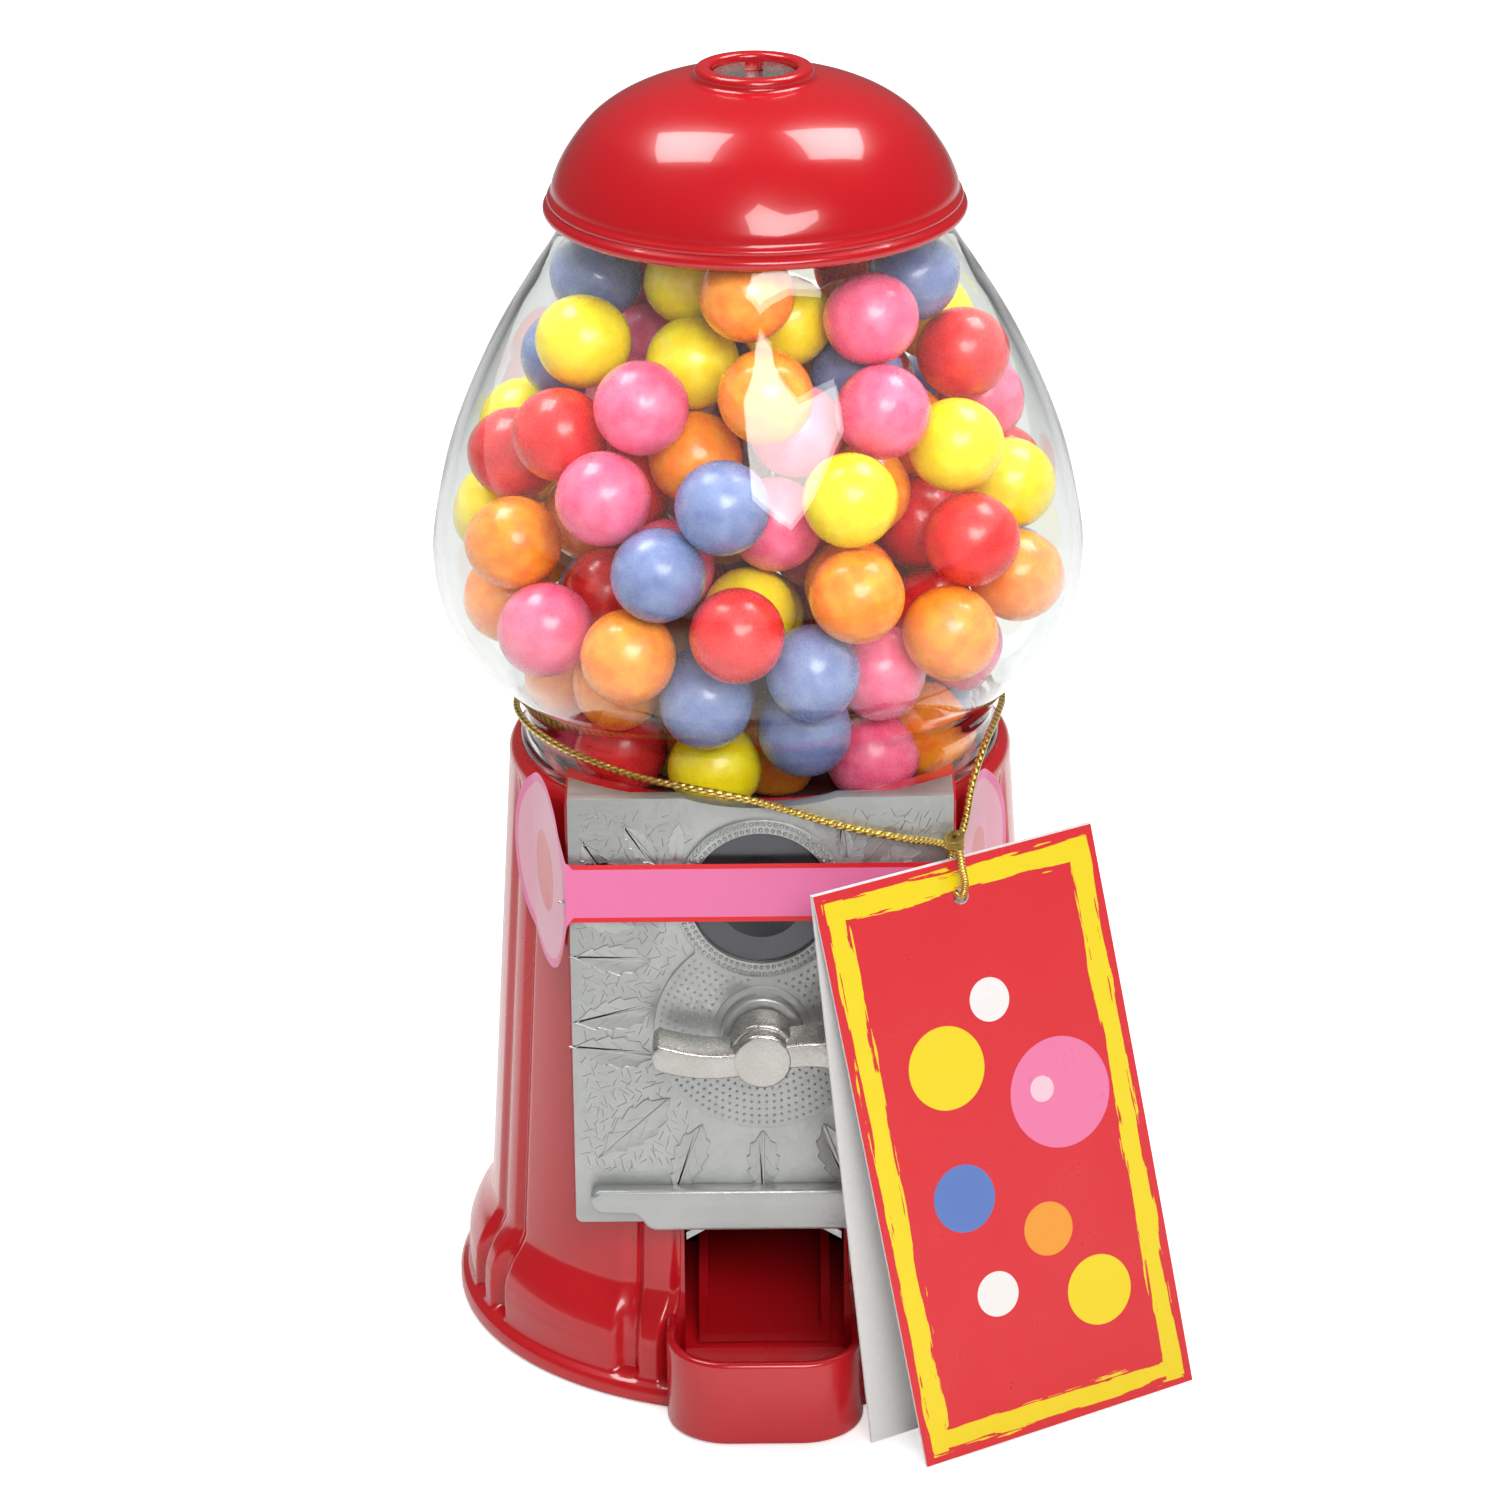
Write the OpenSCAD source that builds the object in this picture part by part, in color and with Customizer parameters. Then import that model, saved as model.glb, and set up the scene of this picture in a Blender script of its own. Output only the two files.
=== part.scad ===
// A small die-cast gumball machine: fluted red base with a coin-operated dispenser, a pear-shaped
// glass globe and a domed lid held down by one long rod. Front is -Y, and the base stands on z = 0.

/* [Base] */
// Radius of the foot where it meets the floor
foot_r = 56; // [50:0.5:66]
// Radius of the wall just above the foot
wall_low_r = 49.7; // [44:0.1:52]
// Radius of the wall at the top
wall_top_r = 44.6; // [40:0.1:46]
// Height of the base's top lip
base_h = 107.6; // [100:0.2:130]
// Thickness of the cast walls
wall = 2.2; // [1.6:0.1:3]
// Height of the foot, where the wall starts
foot_h = 18.5; // [15:0.5:24]
// Number of wide panels round the base
panels = 8; // [6:1:12]
// Half the angle between the two grooves of a rib
rib_half = 4.8; // [3:0.1:7]
// Radius of the grooves
groove_r = 0.7; // [0.3:0.1:1]

/* [Tray] */
// Width of the cup that the gumball rolls into
tray_w = 34.4; // [28:0.2:40]
// Distance of the cup's front from the axis
tray_reach = 66.9; // [62:0.1:76]
// Height of the cup's rim
tray_h = 15.8; // [12:0.1:20]

/* [Front plate] */
// Width of the front plate
plate_w = 65.5; // [60:0.5:70]
// Height of the front plate
plate_h = 80; // [74:0.5:84]
// Thickness of the front plate
plate_t = 3; // [2.4:0.1:4]
// Distance of the plate's front face from the axis
plate_y = 49; // [48.5:0.1:56]
// Radius of the round coin window
window_r = 12; // [10:0.1:13]
// Width of the ring round the coin window
ring_w = 2.6; // [1.5:0.1:3.5]
// Radius of the plain disc round the handle
disc_r = 18.6; // [14:0.1:20]

/* [Handle and shaft] */
// Height of the shaft's centre line
shaft_z = 71.5; // [68:0.5:76]
// Radius of the shaft
shaft_r = 2.5; // [2:0.1:3]
// Length of the wing handle, tip to tip
handle_l = 37.8; // [30:0.2:40]
// Depth of the wing handle
handle_d = 8; // [6:0.1:9]
// Width of one wing, seen from the front
wing_w = 4.2; // [3:0.1:6]

/* [Coin mechanism] */
// Radius of the coin that fits, a 19 mm one
coin_r = 9.53; // [8:0.01:11]
// Radius of the wheel that carries the coin
carrier_r = 24; // [20:0.5:26]
// Thickness of the coin wheel
carrier_t = 2.4; // [2:0.1:3]
// Number of teeth on the ratchet
teeth = 12; // [12:12:24]
// Tip radius of the ratchet
ratchet_r = 13; // [10:0.5:16]

/* [Dispenser] */
// Radius of one gumball
ball_r = 8; // [7:0.1:8.2]
// Radius of the drum that meters the gumballs
drum_r = 22; // [21:0.5:24]
// Length of the drum
drum_l = 20; // [18.5:0.5:22]
// Distance of the drum's middle behind the axis
drum_y = 16; // [14:0.5:18]
// Inner width of the chute
chute_w = 20; // [18:0.5:24]

/* [Globe and lid] */
// Radius of the globe's neck
neck_r = 42.3; // [38:0.1:43]
// Greatest radius of the globe
globe_r = 57; // [52:0.5:64]
// Thickness of the glass
glass_t = 2; // [1.5:0.1:3]
// Height of the globe above its seat
globe_h = 101; // [95:0.5:110]
// Radius of the lid's rim
lid_r = 36.6; // [34:0.1:42]
// Height of the lid's dome above its rim
lid_h = 26; // [22:0.5:32]
// Thickness of the lid
lid_t = 1.8; // [1.4:0.1:2.4]
// Radius of the long rod
rod_r = 2.5; // [2:0.1:3]

/* [Card and cord] */
// Width of the folded card
card_w = 56.8; // [45:0.2:58]
// Thickness of the card
card_t = 0.5; // [0.3:0.1:1]
// Thickness of the gold cord
cord_d = 1.3; // [1:0.1:2]

/* [Fits] */
// Gap between pieces that slide or lift apart
clear = 0.3; // [0.2:0.05:0.5]
// Gap all round a turning shaft
run = 0.06; // [0.03:0.01:0.1]

/* [Hidden] */
$fn = 96;

// Base heights
seat_z = 102.2 + (base_h - 107.6);   // top of the deck that carries the globe
deck_t = 2.5;
gasket_t = 1.2;
globe_z = seat_z + gasket_t;
socket_r = neck_r + clear;
cover_t = 2;
cover_r = foot_r - 4.4;
// Front block that carries the plate
block_w = plate_w + 1.6;
block_y = plate_y - plate_t;
block_z0 = plate_z0() + 1;
block_z1 = plate_z0() + plate_h - 2;
flange_w = 7;
// Shaft and its pieces, front to back
window_z = shaft_z + 24.8;
wheel_y = block_y - 1;               // front face of the coin wheel, behind the plate
boss_r = 7.2;
boss_y = plate_y + 3;
hub_r = 4.8;
handle_y = boss_y + clear + 1.7;     // back of the wings
bush_r = shaft_r + 2;
pawl_plate_y = wheel_y - carrier_t - 1;
pawl_plate_t = 1.6;
ratchet_t = 3;
ratchet_y = pawl_plate_y - pawl_plate_t - 0.4;
shaft_front = -(handle_y + handle_d - 1.5);
shaft_back = drum_y + drum_l / 2 + 6.5;
// Hopper
hopper_z = seat_z - deck_t - 3;
hopper_r = 36.2;
outlet_r = ball_r + 1.1;
ledge_w = 4.4;                       // ledge of the base under the hopper
rod_boss_r = 4.4;
// Lid
lid_z = globe_z + globe_h - 1.3;
dome_r = lid_r - 1.3;
collar_r = 10;
well_r = 7.4;
lid_top = lid_z + lid_h;
nut_z = lid_top - 5.6;
nut_h = 4.2;

function plate_z0() = 34.7;
// Points of an arc, from angle a0 to a1
function arc(cx, cy, r, a0, a1, n = 8) = [for (i = [0:n]) let (a = a0 + (a1 - a0) * i / n)
    [cx + r * cos(a), cy + r * sin(a)]];
// A smooth line through a few points
function bend(p, i, t) = let (a = p[max(i - 1, 0)], b = p[i], c = p[i + 1], d = p[min(i + 2, len(p) - 1)])
    0.5 * (2 * b + (c - a) * t + (2 * a - 5 * b + 4 * c - d) * t * t + (3 * b - a - 3 * c + d) * t * t * t);
function smooth(p, n) = [for (i = [0:len(p) - 2], k = [0:n - 1]) bend(p, i, k / n), p[len(p) - 1]];
// Radius of the base's outer wall at height z
function wall_at(z) = wall_low_r + (wall_top_r - wall_low_r) * (z - foot_h) / (base_h - foot_h);
function rev(p) = [for (i = [len(p) - 1:-1:0]) p[i]];

// ---- Base -----------------------------------------------------------------------------------

// The casting as one turned outline: outside from the floor to the top lip, then socket, deck and inside
function base_line() = concat(
    [[foot_r - wall, 0], [foot_r, 0], [foot_r, 3.2], [foot_r - 1.7, 3.7]],
    smooth([[foot_r - 1.7, 9], [foot_r - 2.1, 12], [foot_r - 3.4, 15], [wall_low_r + 0.9, foot_h - 0.6], [wall_low_r, foot_h + 1.6]], 2),
    arc(wall_top_r - 2.6, base_h - 2.6, 2.6, 3, 80, 5),
    [[socket_r, base_h], [socket_r, seat_z], [hopper_r + clear, seat_z], [hopper_r + clear, hopper_z],
    [hopper_r - ledge_w, hopper_z], [hopper_r - ledge_w, hopper_z - 2.5], [wall_at(hopper_z) - wall, hopper_z - 4],
    [wall_low_r - wall, foot_h], [foot_r - wall - 1.7, 9], [foot_r - wall - 1.7, 4]]);

// A solid that ends within the thickness of the wall, for trimming what joins it from outside
module inside_of_wall() rotate_extrude() polygon([[0, -1], [foot_r - wall - 0.9, -1], [foot_r - wall - 0.9, 9],
    [wall_low_r - wall / 2, foot_h], [wall_at(seat_z) - wall / 2, seat_z - 1], [socket_r + 0.8, seat_z], [socket_r + 0.8, 200], [0, 200]]);

module tray_outline(inset = 0) {
    r = tray_w / 2 - inset;
    corner = 11 - inset;
    translate([-r, -(tray_reach - inset - corner)]) square([2 * r, tray_reach - inset - corner - 36]);
    translate([0, -(tray_reach - inset - corner)]) for (s = [-1, 1]) translate([s * (r - corner), 0]) circle(corner);
    translate([-(r - corner), -(tray_reach - inset)]) square([2 * (r - corner), corner]);
}

module front_block(w, y0, z0, z1) translate([-w / 2, -y0, z0]) cube([w, y0, z1 - z0]);

module grooves() for (k = [0:panels - 1], s = [-1, 1]) {
    lean = atan((wall_low_r - wall_top_r) / (base_h - foot_h));
    rotate([0, 0, (k + 0.5) * 360 / panels + s * rib_half]) {
        translate([wall_low_r - groove_r, -groove_r, foot_h + 2]) rotate([0, -lean, 0]) cube([4, 2 * groove_r, base_h - foot_h - 7]);
        translate([foot_r - 1.7 - groove_r, -groove_r, 4.2]) cube([1.5, 2 * groove_r, 6]);
    }
}

module base_housing() color("crimson") difference() {
    union() {
        difference() {
            rotate_extrude() polygon(base_line());
            grooves();
        }
        difference() {
            union() {
                front_block(block_w, block_y, block_z0, block_z1);
                linear_extrude(tray_h) tray_outline();
            }
            inside_of_wall();
            // inside of the front block, behind its flange
            translate([-block_w / 2 + wall, -block_y + wall, block_z0 + wall])
                cube([block_w - 2 * wall, block_y - wall + 5, block_z1 - block_z0 - 2 * wall - 6.5]);
            // the cup
            translate([0, 0, 4]) linear_extrude(40) tray_outline(2);
        }
        // the cup's floor carried in over the bottom cover
        translate([0, 0, cover_t + clear]) linear_extrude(4 - cover_t - clear) intersection() {
            tray_outline(1);
            translate([-40, -foot_r]) square([80, 14]);
        }
        for (a = cover_angles) rotate([0, 0, a]) translate([cover_screw_at, 0, cover_t + clear]) cylinder(r = 3.4, h = 14);
        for (s = [-1, 1]) translate([s * chute_ear_x - 3, chute_ear_y - 2.6, 14]) cube([6, 7.1, chute_ear_z - 14]);
    }
    // flat seat of the front plate, and the opening behind it
    translate([-plate_w / 2 - clear, -foot_r, plate_z0() - clear]) cube([plate_w + 2 * clear, foot_r - block_y, 90]);
    translate([-block_w / 2 + flange_w, -foot_r, block_z0 + flange_w])
        cube([block_w - 2 * flange_w, foot_r - 29, block_z1 - block_z0 - 2 * flange_w - 6]);
    // mouth where the gumball comes out
    translate([-chute_w / 2 - 4, -foot_r - 0.5, 4]) cube([chute_w + 8, 22, block_z0 + flange_w - 3]);
    // room under the cup's floor for the bottom cover
    translate([0, 0, -1]) cylinder(r = cover_r + clear, h = cover_t + clear + 1);
    for (a = cover_angles) rotate([0, 0, a]) translate([cover_screw_at, 0, 1]) cylinder(r = 1.3, h = 12, $fn = 32);
    for (p = plate_screw_at) translate([p[0], -block_y - 1, p[1]]) rotate([-90, 0, 0]) cylinder(r = 1.5, h = 6, $fn = 32);
    for (a = hopper_angles) rotate([0, 0, a]) translate([hopper_screw_r, 0, hopper_z - 6]) cylinder(r = 1.2, h = 8, $fn = 32);
    for (s = [-1, 1]) translate([s * chute_ear_x, chute_ear_y, 20]) cylinder(r = 1.2, h = 20, $fn = 32);
}

chute_ear_x = 14;
chute_ear_y = 41;
chute_ear_z = 33;
cover_angles = [45, 135, 225, 315];
cover_screw_at = cover_r - 4.6;
plate_screw_at = [for (s = [-1, 1], z = [block_z0 + 9, block_z1 - 12]) [s * (block_w / 2 - flange_w + 1.9), z]];
hopper_angles = [30, 150, 270];
hopper_screw_r = hopper_r - 2.8;

module bottom_cover() color("dimgray") difference() {
    cylinder(r = cover_r, h = cover_t);
    translate([0, 0, -1]) cylinder(r = plug_r, h = 9);
    for (a = cover_angles) rotate([0, 0, a]) translate([cover_screw_at, 0, -1]) {
        cylinder(r = 1.6, h = 9, $fn = 32);
        cylinder(r = 2.9, h = 2, $fn = 32);
    }
}

module cover_screws() color("silver") for (a = cover_angles) rotate([0, 0, a]) translate([cover_screw_at, 0, 0.1]) difference() {
    union() {
        cylinder(r = 2.7, h = 0.9, $fn = 32);
        cylinder(r = 1.25, h = 9, $fn = 32);
    }
    translate([-2, -0.3, -1]) cube([4, 0.6, 1.4]);
}

plug_r = 15;

module coin_plug() color("black") difference() {
    rotate_extrude() polygon([[0, 0.2], [plug_r - clear, 0.2], [plug_r - clear, cover_t + 0.05],
        [plug_r - 0.2, cover_t + 0.3], [plug_r - 0.9, cover_t + 1.7], [plug_r - 3, cover_t + 1.7], [plug_r - 3, 1.8], [0, 1.8]]);
    translate([-6, -1.2, -1]) cube([12, 2.4, 1.9]);
}

// ---- Front plate and handle -----------------------------------------------------------------

module along_y(y) translate([0, -y, 0]) rotate([-90, 0, 0]) mirror([0, 1, 0]) children();

module plate_face() difference() {
    translate([-plate_w / 2, plate_z0()]) square([plate_w, plate_h]);
    // shallow dip of the top edge over the coin window
    translate([0, plate_z0() + plate_h + 38]) circle(40, $fn = 192);
}

module front_plate() color("lightgray") difference() {
    union() {
        along_y(plate_y) linear_extrude(plate_t) plate_face();
        // flat top, machined to stand against the neck of the globe
        difference() {
            translate([-plate_w / 2, -plate_y, plate_z0() + plate_h - 2]) cube([plate_w, 9.9, 2]);
            cylinder(r = 51, h = 200, $fn = 192);
            translate([0, 1, plate_z0() + plate_h + 38]) rotate([90, 0, 0]) cylinder(r = 40, h = 90, $fn = 192);
        }
        // bottom lip over the tray
        translate([-30.5, -plate_y - 3, plate_z0() + 2.2]) cube([61, 4, 2.6]);
        translate([-20.5, -plate_y - 3, plate_z0() - 0.6]) cube([41, 4.5, 4]);
        // ring of the coin window, disc and boss of the handle
        along_y(plate_y + 1.1) translate([0, window_z]) cylinder(r = window_r + ring_w, h = 2);
        along_y(plate_y + 0.5) translate([0, shaft_z]) cylinder(r = disc_r, h = 2);
        along_y(boss_y) translate([0, shaft_z]) cylinder(r = boss_r, h = 4);
    }
    along_y(plate_y + 5) translate([0, window_z]) cylinder(r = window_r, h = 12);
    along_y(plate_y + 9) translate([0, shaft_z]) cylinder(r = bush_r, h = 30, $fn = 48);
    for (p = plate_screw_at) along_y(plate_y - 0.9) translate(p) cylinder(r = 1.25, h = 9, $fn = 32);
}

module plate_screws() color("silver") for (p = plate_screw_at) along_y(plate_y - 1) translate(p) difference() {
    union() {
        cylinder(r = 1.2, h = plate_t - 1 + wall + 0.1, $fn = 32);
        translate([0, 0, plate_t - 1 + wall]) cylinder(r = 2.4, h = 1.4, $fn = 32);
    }
    translate([-2, -0.3, plate_t + wall - 0.2]) cube([4, 0.6, 2]);
}

// Round pocket behind the window, with the slot that lets the coin down onto the wheel
module coin_window_cup() color("dimgray") difference() {
    along_y(plate_y - 0.3) translate([0, window_z]) cylinder(r = window_r - 0.05, h = plate_t - 0.3);
    translate([0, -plate_y - 25, window_z]) sphere(r = 26.4);
    translate([-coin_r - 0.6, -plate_y - 1, window_z - 3]) cube([2 * coin_r + 1.2, 9, 2]);
}

module front_bush() color("goldenrod") along_y(boss_y - 0.2) translate([0, shaft_z]) difference() {
    cylinder(r = bush_r - 0.01, h = boss_y - block_y - 0.4, $fn = 48);
    translate([0, 0, -1]) cylinder(r = shaft_r + run, h = 20, $fn = 48);
}

// S-shaped wing handle, flat at the front
function wing_mid(x) = 1.5 * sin(x * 360 / handle_l);
module wing_outline() {
    half = handle_l / 2;
    n = 14;
    top = [for (i = [-n:n]) let (x = i * (half - 1.2) / n) [x, wing_mid(x) + wing_w / 2]];
    low = [for (i = [-n:n]) let (x = i * (half - 1.2) / n) [x, wing_mid(x) - wing_w / 2]];
    polygon(concat(top, arc(half - 1.2, wing_mid(half - 1.2), wing_w / 2, 70, -70, 5), rev(low),
        arc(-half + 1.2, wing_mid(-half + 1.2), wing_w / 2, 250, 110, 5)));
}

module handle() color("gainsboro") difference() {
    along_y(handle_y + handle_d) translate([0, shaft_z]) {
        linear_extrude(handle_d) intersection() {
            rotate(-3) wing_outline();
            circle(handle_l / 2);
        }
        cylinder(r = hub_r, h = handle_d);
        cylinder(r = hub_r + 0.9, h = handle_d + 1.7);
    }
    along_y(-shaft_front) translate([0, shaft_z]) cylinder(r = shaft_r + 0.01, h = 30, $fn = 48);
    translate([0, -handle_y - 2.5, shaft_z - 12]) cylinder(r = 0.75, h = 24, $fn = 32);
}

module handle_pin() color("silver") translate([0, -handle_y - 2.5, shaft_z - hub_r + 0.3])
    cylinder(r = 0.74, h = 2 * hub_r - 0.6, $fn = 32);

module drive_shaft() color("silver") difference() {
    translate([0, shaft_front, shaft_z]) rotate([-90, 0, 0]) cylinder(r = shaft_r, h = shaft_back - shaft_front, $fn = 48);
    translate([0, -handle_y - 2.5, shaft_z - 12]) cylinder(r = 0.75, h = 24, $fn = 32);
    // groove of the clip
    translate([0, shaft_back - 2.2, shaft_z]) rotate([-90, 0, 0]) difference() {
        cylinder(r = shaft_r + 1, h = 0.9, $fn = 48);
        translate([0, 0, -1]) cylinder(r = shaft_r - 0.5, h = 3, $fn = 48);
    }
}

// ---- Coin mechanism -------------------------------------------------------------------------

module wheel_bore(y, h) along_y(y + 1) translate([0, shaft_z]) cylinder(r = shaft_r + 0.01, h = h + 2, $fn = 48);

// Wheel with the round notch that takes the coin past the stops
module coin_wheel() color("darkkhaki") difference() {
    union() {
        along_y(wheel_y) translate([0, shaft_z]) cylinder(r = carrier_r, h = carrier_t);
        along_y(wheel_y + 0.6) translate([0, shaft_z]) cylinder(r = 6, h = carrier_t + 1.2);
    }
    along_y(wheel_y + 1) translate([0, shaft_z + carrier_r - coin_r + 3]) cylinder(r = coin_r + 0.4, h = carrier_t + 2);
    wheel_bore(wheel_y + 1, carrier_t + 3);
}

module ratchet_wheel() color("darkgray") difference() {
    along_y(ratchet_y) translate([0, shaft_z]) linear_extrude(ratchet_t) difference() {
        polygon([for (i = [0:teeth - 1], p = [[ratchet_r, 0], [ratchet_r - 2.6, 1.5]])
            let (a = 360 / teeth * (i + (p[1] > 1 ? 0.06 : 0))) p[0] * [cos(a), sin(a)]]);
        for (k = [0:3]) rotate(45 + 90 * k) translate([6.6, 0]) circle(1.6, $fn = 32);
    }
    wheel_bore(ratchet_y, ratchet_t);
}

pawl_at = [-20, 16];
post_x = 27.9;

// Fixed plate between the coin wheel and the ratchet, with the pawl's pin
module pawl_plate() color("slategray") difference() {
    union() {
        along_y(pawl_plate_y) translate([0, shaft_z]) {
            linear_extrude(pawl_plate_t) difference() {
                translate([-post_x - 2, -24]) square([2 * post_x + 4, 46]);
                translate([-9, 14]) square([18, 9]);
                circle(shaft_r + 3, $fn = 48);
            }
            translate(pawl_at) cylinder(r = 1.5, h = pawl_plate_t + ratchet_t + 1.6, $fn = 48);
            translate([-14.6, 24 - 6]) cylinder(r = 1.1, h = pawl_plate_t + ratchet_t + 0.8, $fn = 32);
        }
        // posts that reach forward to the flange of the base
        for (s = [-1, 1], z = [-21, 19]) along_y(block_y - wall - 0.01) translate([s * post_x, shaft_z + z])
                cylinder(r = 2, h = block_y - wall - pawl_plate_y + 0.2, $fn = 32);
    }
}

module pawl() color("silver") along_y(ratchet_y - 0.2) translate([pawl_at[0], shaft_z + pawl_at[1]]) difference() {
    linear_extrude(ratchet_t - 0.6) difference() {
        union() {
            circle(3, $fn = 48);
            polygon([[-2, -2.2], [2.4, -1.8], [pawl_tip[0] + 0.4, pawl_tip[1] - 0.5], [pawl_tip[0] + 0.8, pawl_tip[1] + 0.6], [0, 3]]);
        }
    }
    translate([0, 0, -1]) cylinder(r = 1.5 + run, h = 9, $fn = 48);
}
pawl_tip = [11, -7.2];

// Hairpin spring behind the pawl
module pawl_spring() color("silver") along_y(ratchet_y - 0.4) translate([0, shaft_z]) {
    linear_extrude(0.5) difference() {
        translate([-14.6, 18]) circle(1.9, $fn = 32);
        translate([-14.6, 18]) circle(1.15, $fn = 32);
    }
    translate([-13.2, 17.3]) rotate(-62) cube([3.2, 0.5, 0.5]);
}

// Roof over the chute that sends the coins to the sides
module coin_deflector() color("silver") translate([0, -block_y, 35.5]) rotate([-90, 0, 0]) linear_extrude(16)
    polygon([[-13.6, 6], [0, -2], [13.6, 6], [13.6, 4.6], [0, -3.4], [-13.6, 4.6]]);

// ---- Dispenser ------------------------------------------------------------------------------

module dispensing_drum() color("whitesmoke") difference() {
    translate([0, drum_y - drum_l / 2, shaft_z]) rotate([-90, 0, 0]) cylinder(r = drum_r, h = drum_l);
    translate([0, drum_y, shaft_z - 4.4]) rotate([180, 0, 0]) cylinder(r = ball_r + 0.7, h = 40, $fn = 64);
    translate([0, drum_y - drum_l, shaft_z]) rotate([-90, 0, 0]) cylinder(r = shaft_r + 0.01, h = 3 * drum_l, $fn = 48);
}

drum_gap = 0.5;

module drum_housing() color("lightsteelblue") difference() {
    union() {
        translate([0, drum_y - drum_l / 2 - 2.4, shaft_z]) rotate([-90, 0, 0]) cylinder(r = drum_r + drum_gap + 2, h = drum_l + 4.8);
        translate([-13.4, drum_y - drum_l / 2 - 2.4, shaft_z + 16]) cube([26.8, drum_l + 4.8, hopper_z - shaft_z - 16 - 0.05]);
    }
    translate([0, drum_y - drum_l / 2 - 0.4, shaft_z]) rotate([-90, 0, 0]) cylinder(r = drum_r + drum_gap, h = drum_l + 0.8);
    // way in from the hopper and out to the chute
    translate([0, drum_y, shaft_z]) cylinder(r = outlet_r, h = 60);
    translate([-12, drum_y - 9.6, shaft_z - 40]) cube([24, 19.2, 34]);
    translate([0, 0, shaft_z]) rotate([-90, 0, 0]) cylinder(r = shaft_r + run, h = 60, $fn = 48);
    // room for the nut under the hopper
    translate([0, 0, hopper_z - 7]) cylinder(r = 6.2, h = 9);
    for (x = [-1, 1], y = [-1, 1]) translate([x * 11.5, drum_y + 9 * y, hopper_z - 9]) cylinder(r = 1.1, h = 20, $fn = 32);
}

module rear_clip() color("silver") translate([0, shaft_back - 2.15, shaft_z]) rotate([-90, 0, 0]) difference() {
    cylinder(r = shaft_r + 2, h = 0.8, $fn = 48);
    translate([0, 0, -1]) cylinder(r = shaft_r - 0.49, h = 4, $fn = 48);
    translate([-1.6, 0, -1]) cube([3.2, 9, 4]);
}

module hopper() color("gray") difference() {
    union() {
        difference() {
            translate([0, 0, hopper_z]) cylinder(r = hopper_r, h = 9.4);
            translate([0, drum_y, hopper_z + 2]) cylinder(r1 = outlet_r, r2 = outlet_r + 55, h = 9);
        }
        translate([0, 0, hopper_z]) cylinder(r = rod_boss_r, h = 8);
    }
    translate([0, drum_y, hopper_z - 1]) cylinder(r = outlet_r, h = 20);
    translate([0, 0, hopper_z - 1]) cylinder(r = rod_r + 0.02, h = 30, $fn = 48);
    for (a = hopper_angles) rotate([0, 0, a]) translate([hopper_screw_r, 0, hopper_z - 1]) {
        cylinder(r = 1.4, h = 30, $fn = 32);
        translate([0, 0, 4.6]) cylinder(r = 2.6, h = 30, $fn = 32);
    }
    for (x = [-1, 1], y = [-1, 1]) translate([x * 11.5, drum_y + 9 * y, hopper_z - 1]) cylinder(r = 1.1, h = 2.6, $fn = 32);
}

module hopper_screws() color("silver") {
    for (a = hopper_angles) rotate([0, 0, a]) translate([hopper_screw_r, 0, hopper_z + 3.65]) difference() {
        union() {
            cylinder(r = 2.4, h = 1.2, $fn = 32);
            translate([0, 0, -9.2]) cylinder(r = 1.15, h = 9.5, $fn = 32);
        }
        translate([-2, -0.3, 0.7]) cube([4, 0.6, 2]);
    }
}

// Channel from the drum down to the cup
chute_lean = 22;
chute_l = 84;

module chute() color("whitesmoke") difference() {
    union() {
        translate([0, 31, 39]) rotate([chute_lean, 0, 0]) translate([0, -chute_l, 0]) difference() {
            translate([-chute_w / 2 - 1.6, 0, -1.6]) cube([chute_w + 3.2, chute_l, 9]);
            translate([-chute_w / 2, -1, 0]) cube([chute_w, chute_l - 0.6, 20]);
        }
        for (s = [-1, 1]) translate([s * chute_ear_x, chute_ear_y, chute_ear_z]) cylinder(r = 2.6, h = 2, $fn = 48);
        translate([-chute_ear_x - 2.6, 26, chute_ear_z]) cube([2 * chute_ear_x + 5.2, chute_ear_y - 26, 2]);
        translate([-chute_w / 2 - 1.6, 26, chute_ear_z]) cube([chute_w + 3.2, 2, 9]);
    }
    for (s = [-1, 1]) translate([s * chute_ear_x, chute_ear_y, 20]) cylinder(r = 1.4, h = 40, $fn = 32);
    // ends level with the front wall
    translate([-30, -90, 0]) cube([60, 90 - block_y + wall + 1, 60]);
}

module chute_screws() color("silver") for (s = [-1, 1]) translate([s * chute_ear_x, chute_ear_y, chute_ear_z + 2.05]) difference() {
    union() {
        cylinder(r = 2.4, h = 1.2, $fn = 32);
        translate([0, 0, -9]) cylinder(r = 1.15, h = 9.4, $fn = 32);
    }
    translate([-2, -0.3, 0.7]) cube([4, 0.6, 2]);
}

// ---- Globe, lid and rod ---------------------------------------------------------------------

function globe_line(d) = smooth([
    [neck_r - d, 0], [neck_r - d, 4], [neck_r - 1.2 - d, 9.5], [neck_r + 2 - d, 15.5],
    [globe_r - 6.5 - d, 22.5], [globe_r - 1.6 - d, 30], [globe_r - d, 39.5], [globe_r - 1.2 - d, 49],
    [globe_r - 3.6 - d, 59], [globe_r - 7.4 - d, 69], [globe_r - 12.2 - d, 79], [globe_r - 17.6 - d, 88],
    [globe_r - 22.4 - d, 95.5], [globe_r - 24.5 - d, globe_h]], 3);

module neck_gasket() color("dimgray") translate([0, 0, seat_z]) difference() {
    cylinder(r = socket_r - 0.1, h = gasket_t);
    translate([0, 0, -1]) cylinder(r = neck_r - glass_t - 0.6, h = 5);
}

module globe() color("lightcyan", 0.35) translate([0, 0, globe_z]) rotate_extrude()
    polygon(concat(globe_line(0), rev(globe_line(glass_t))));

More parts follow.
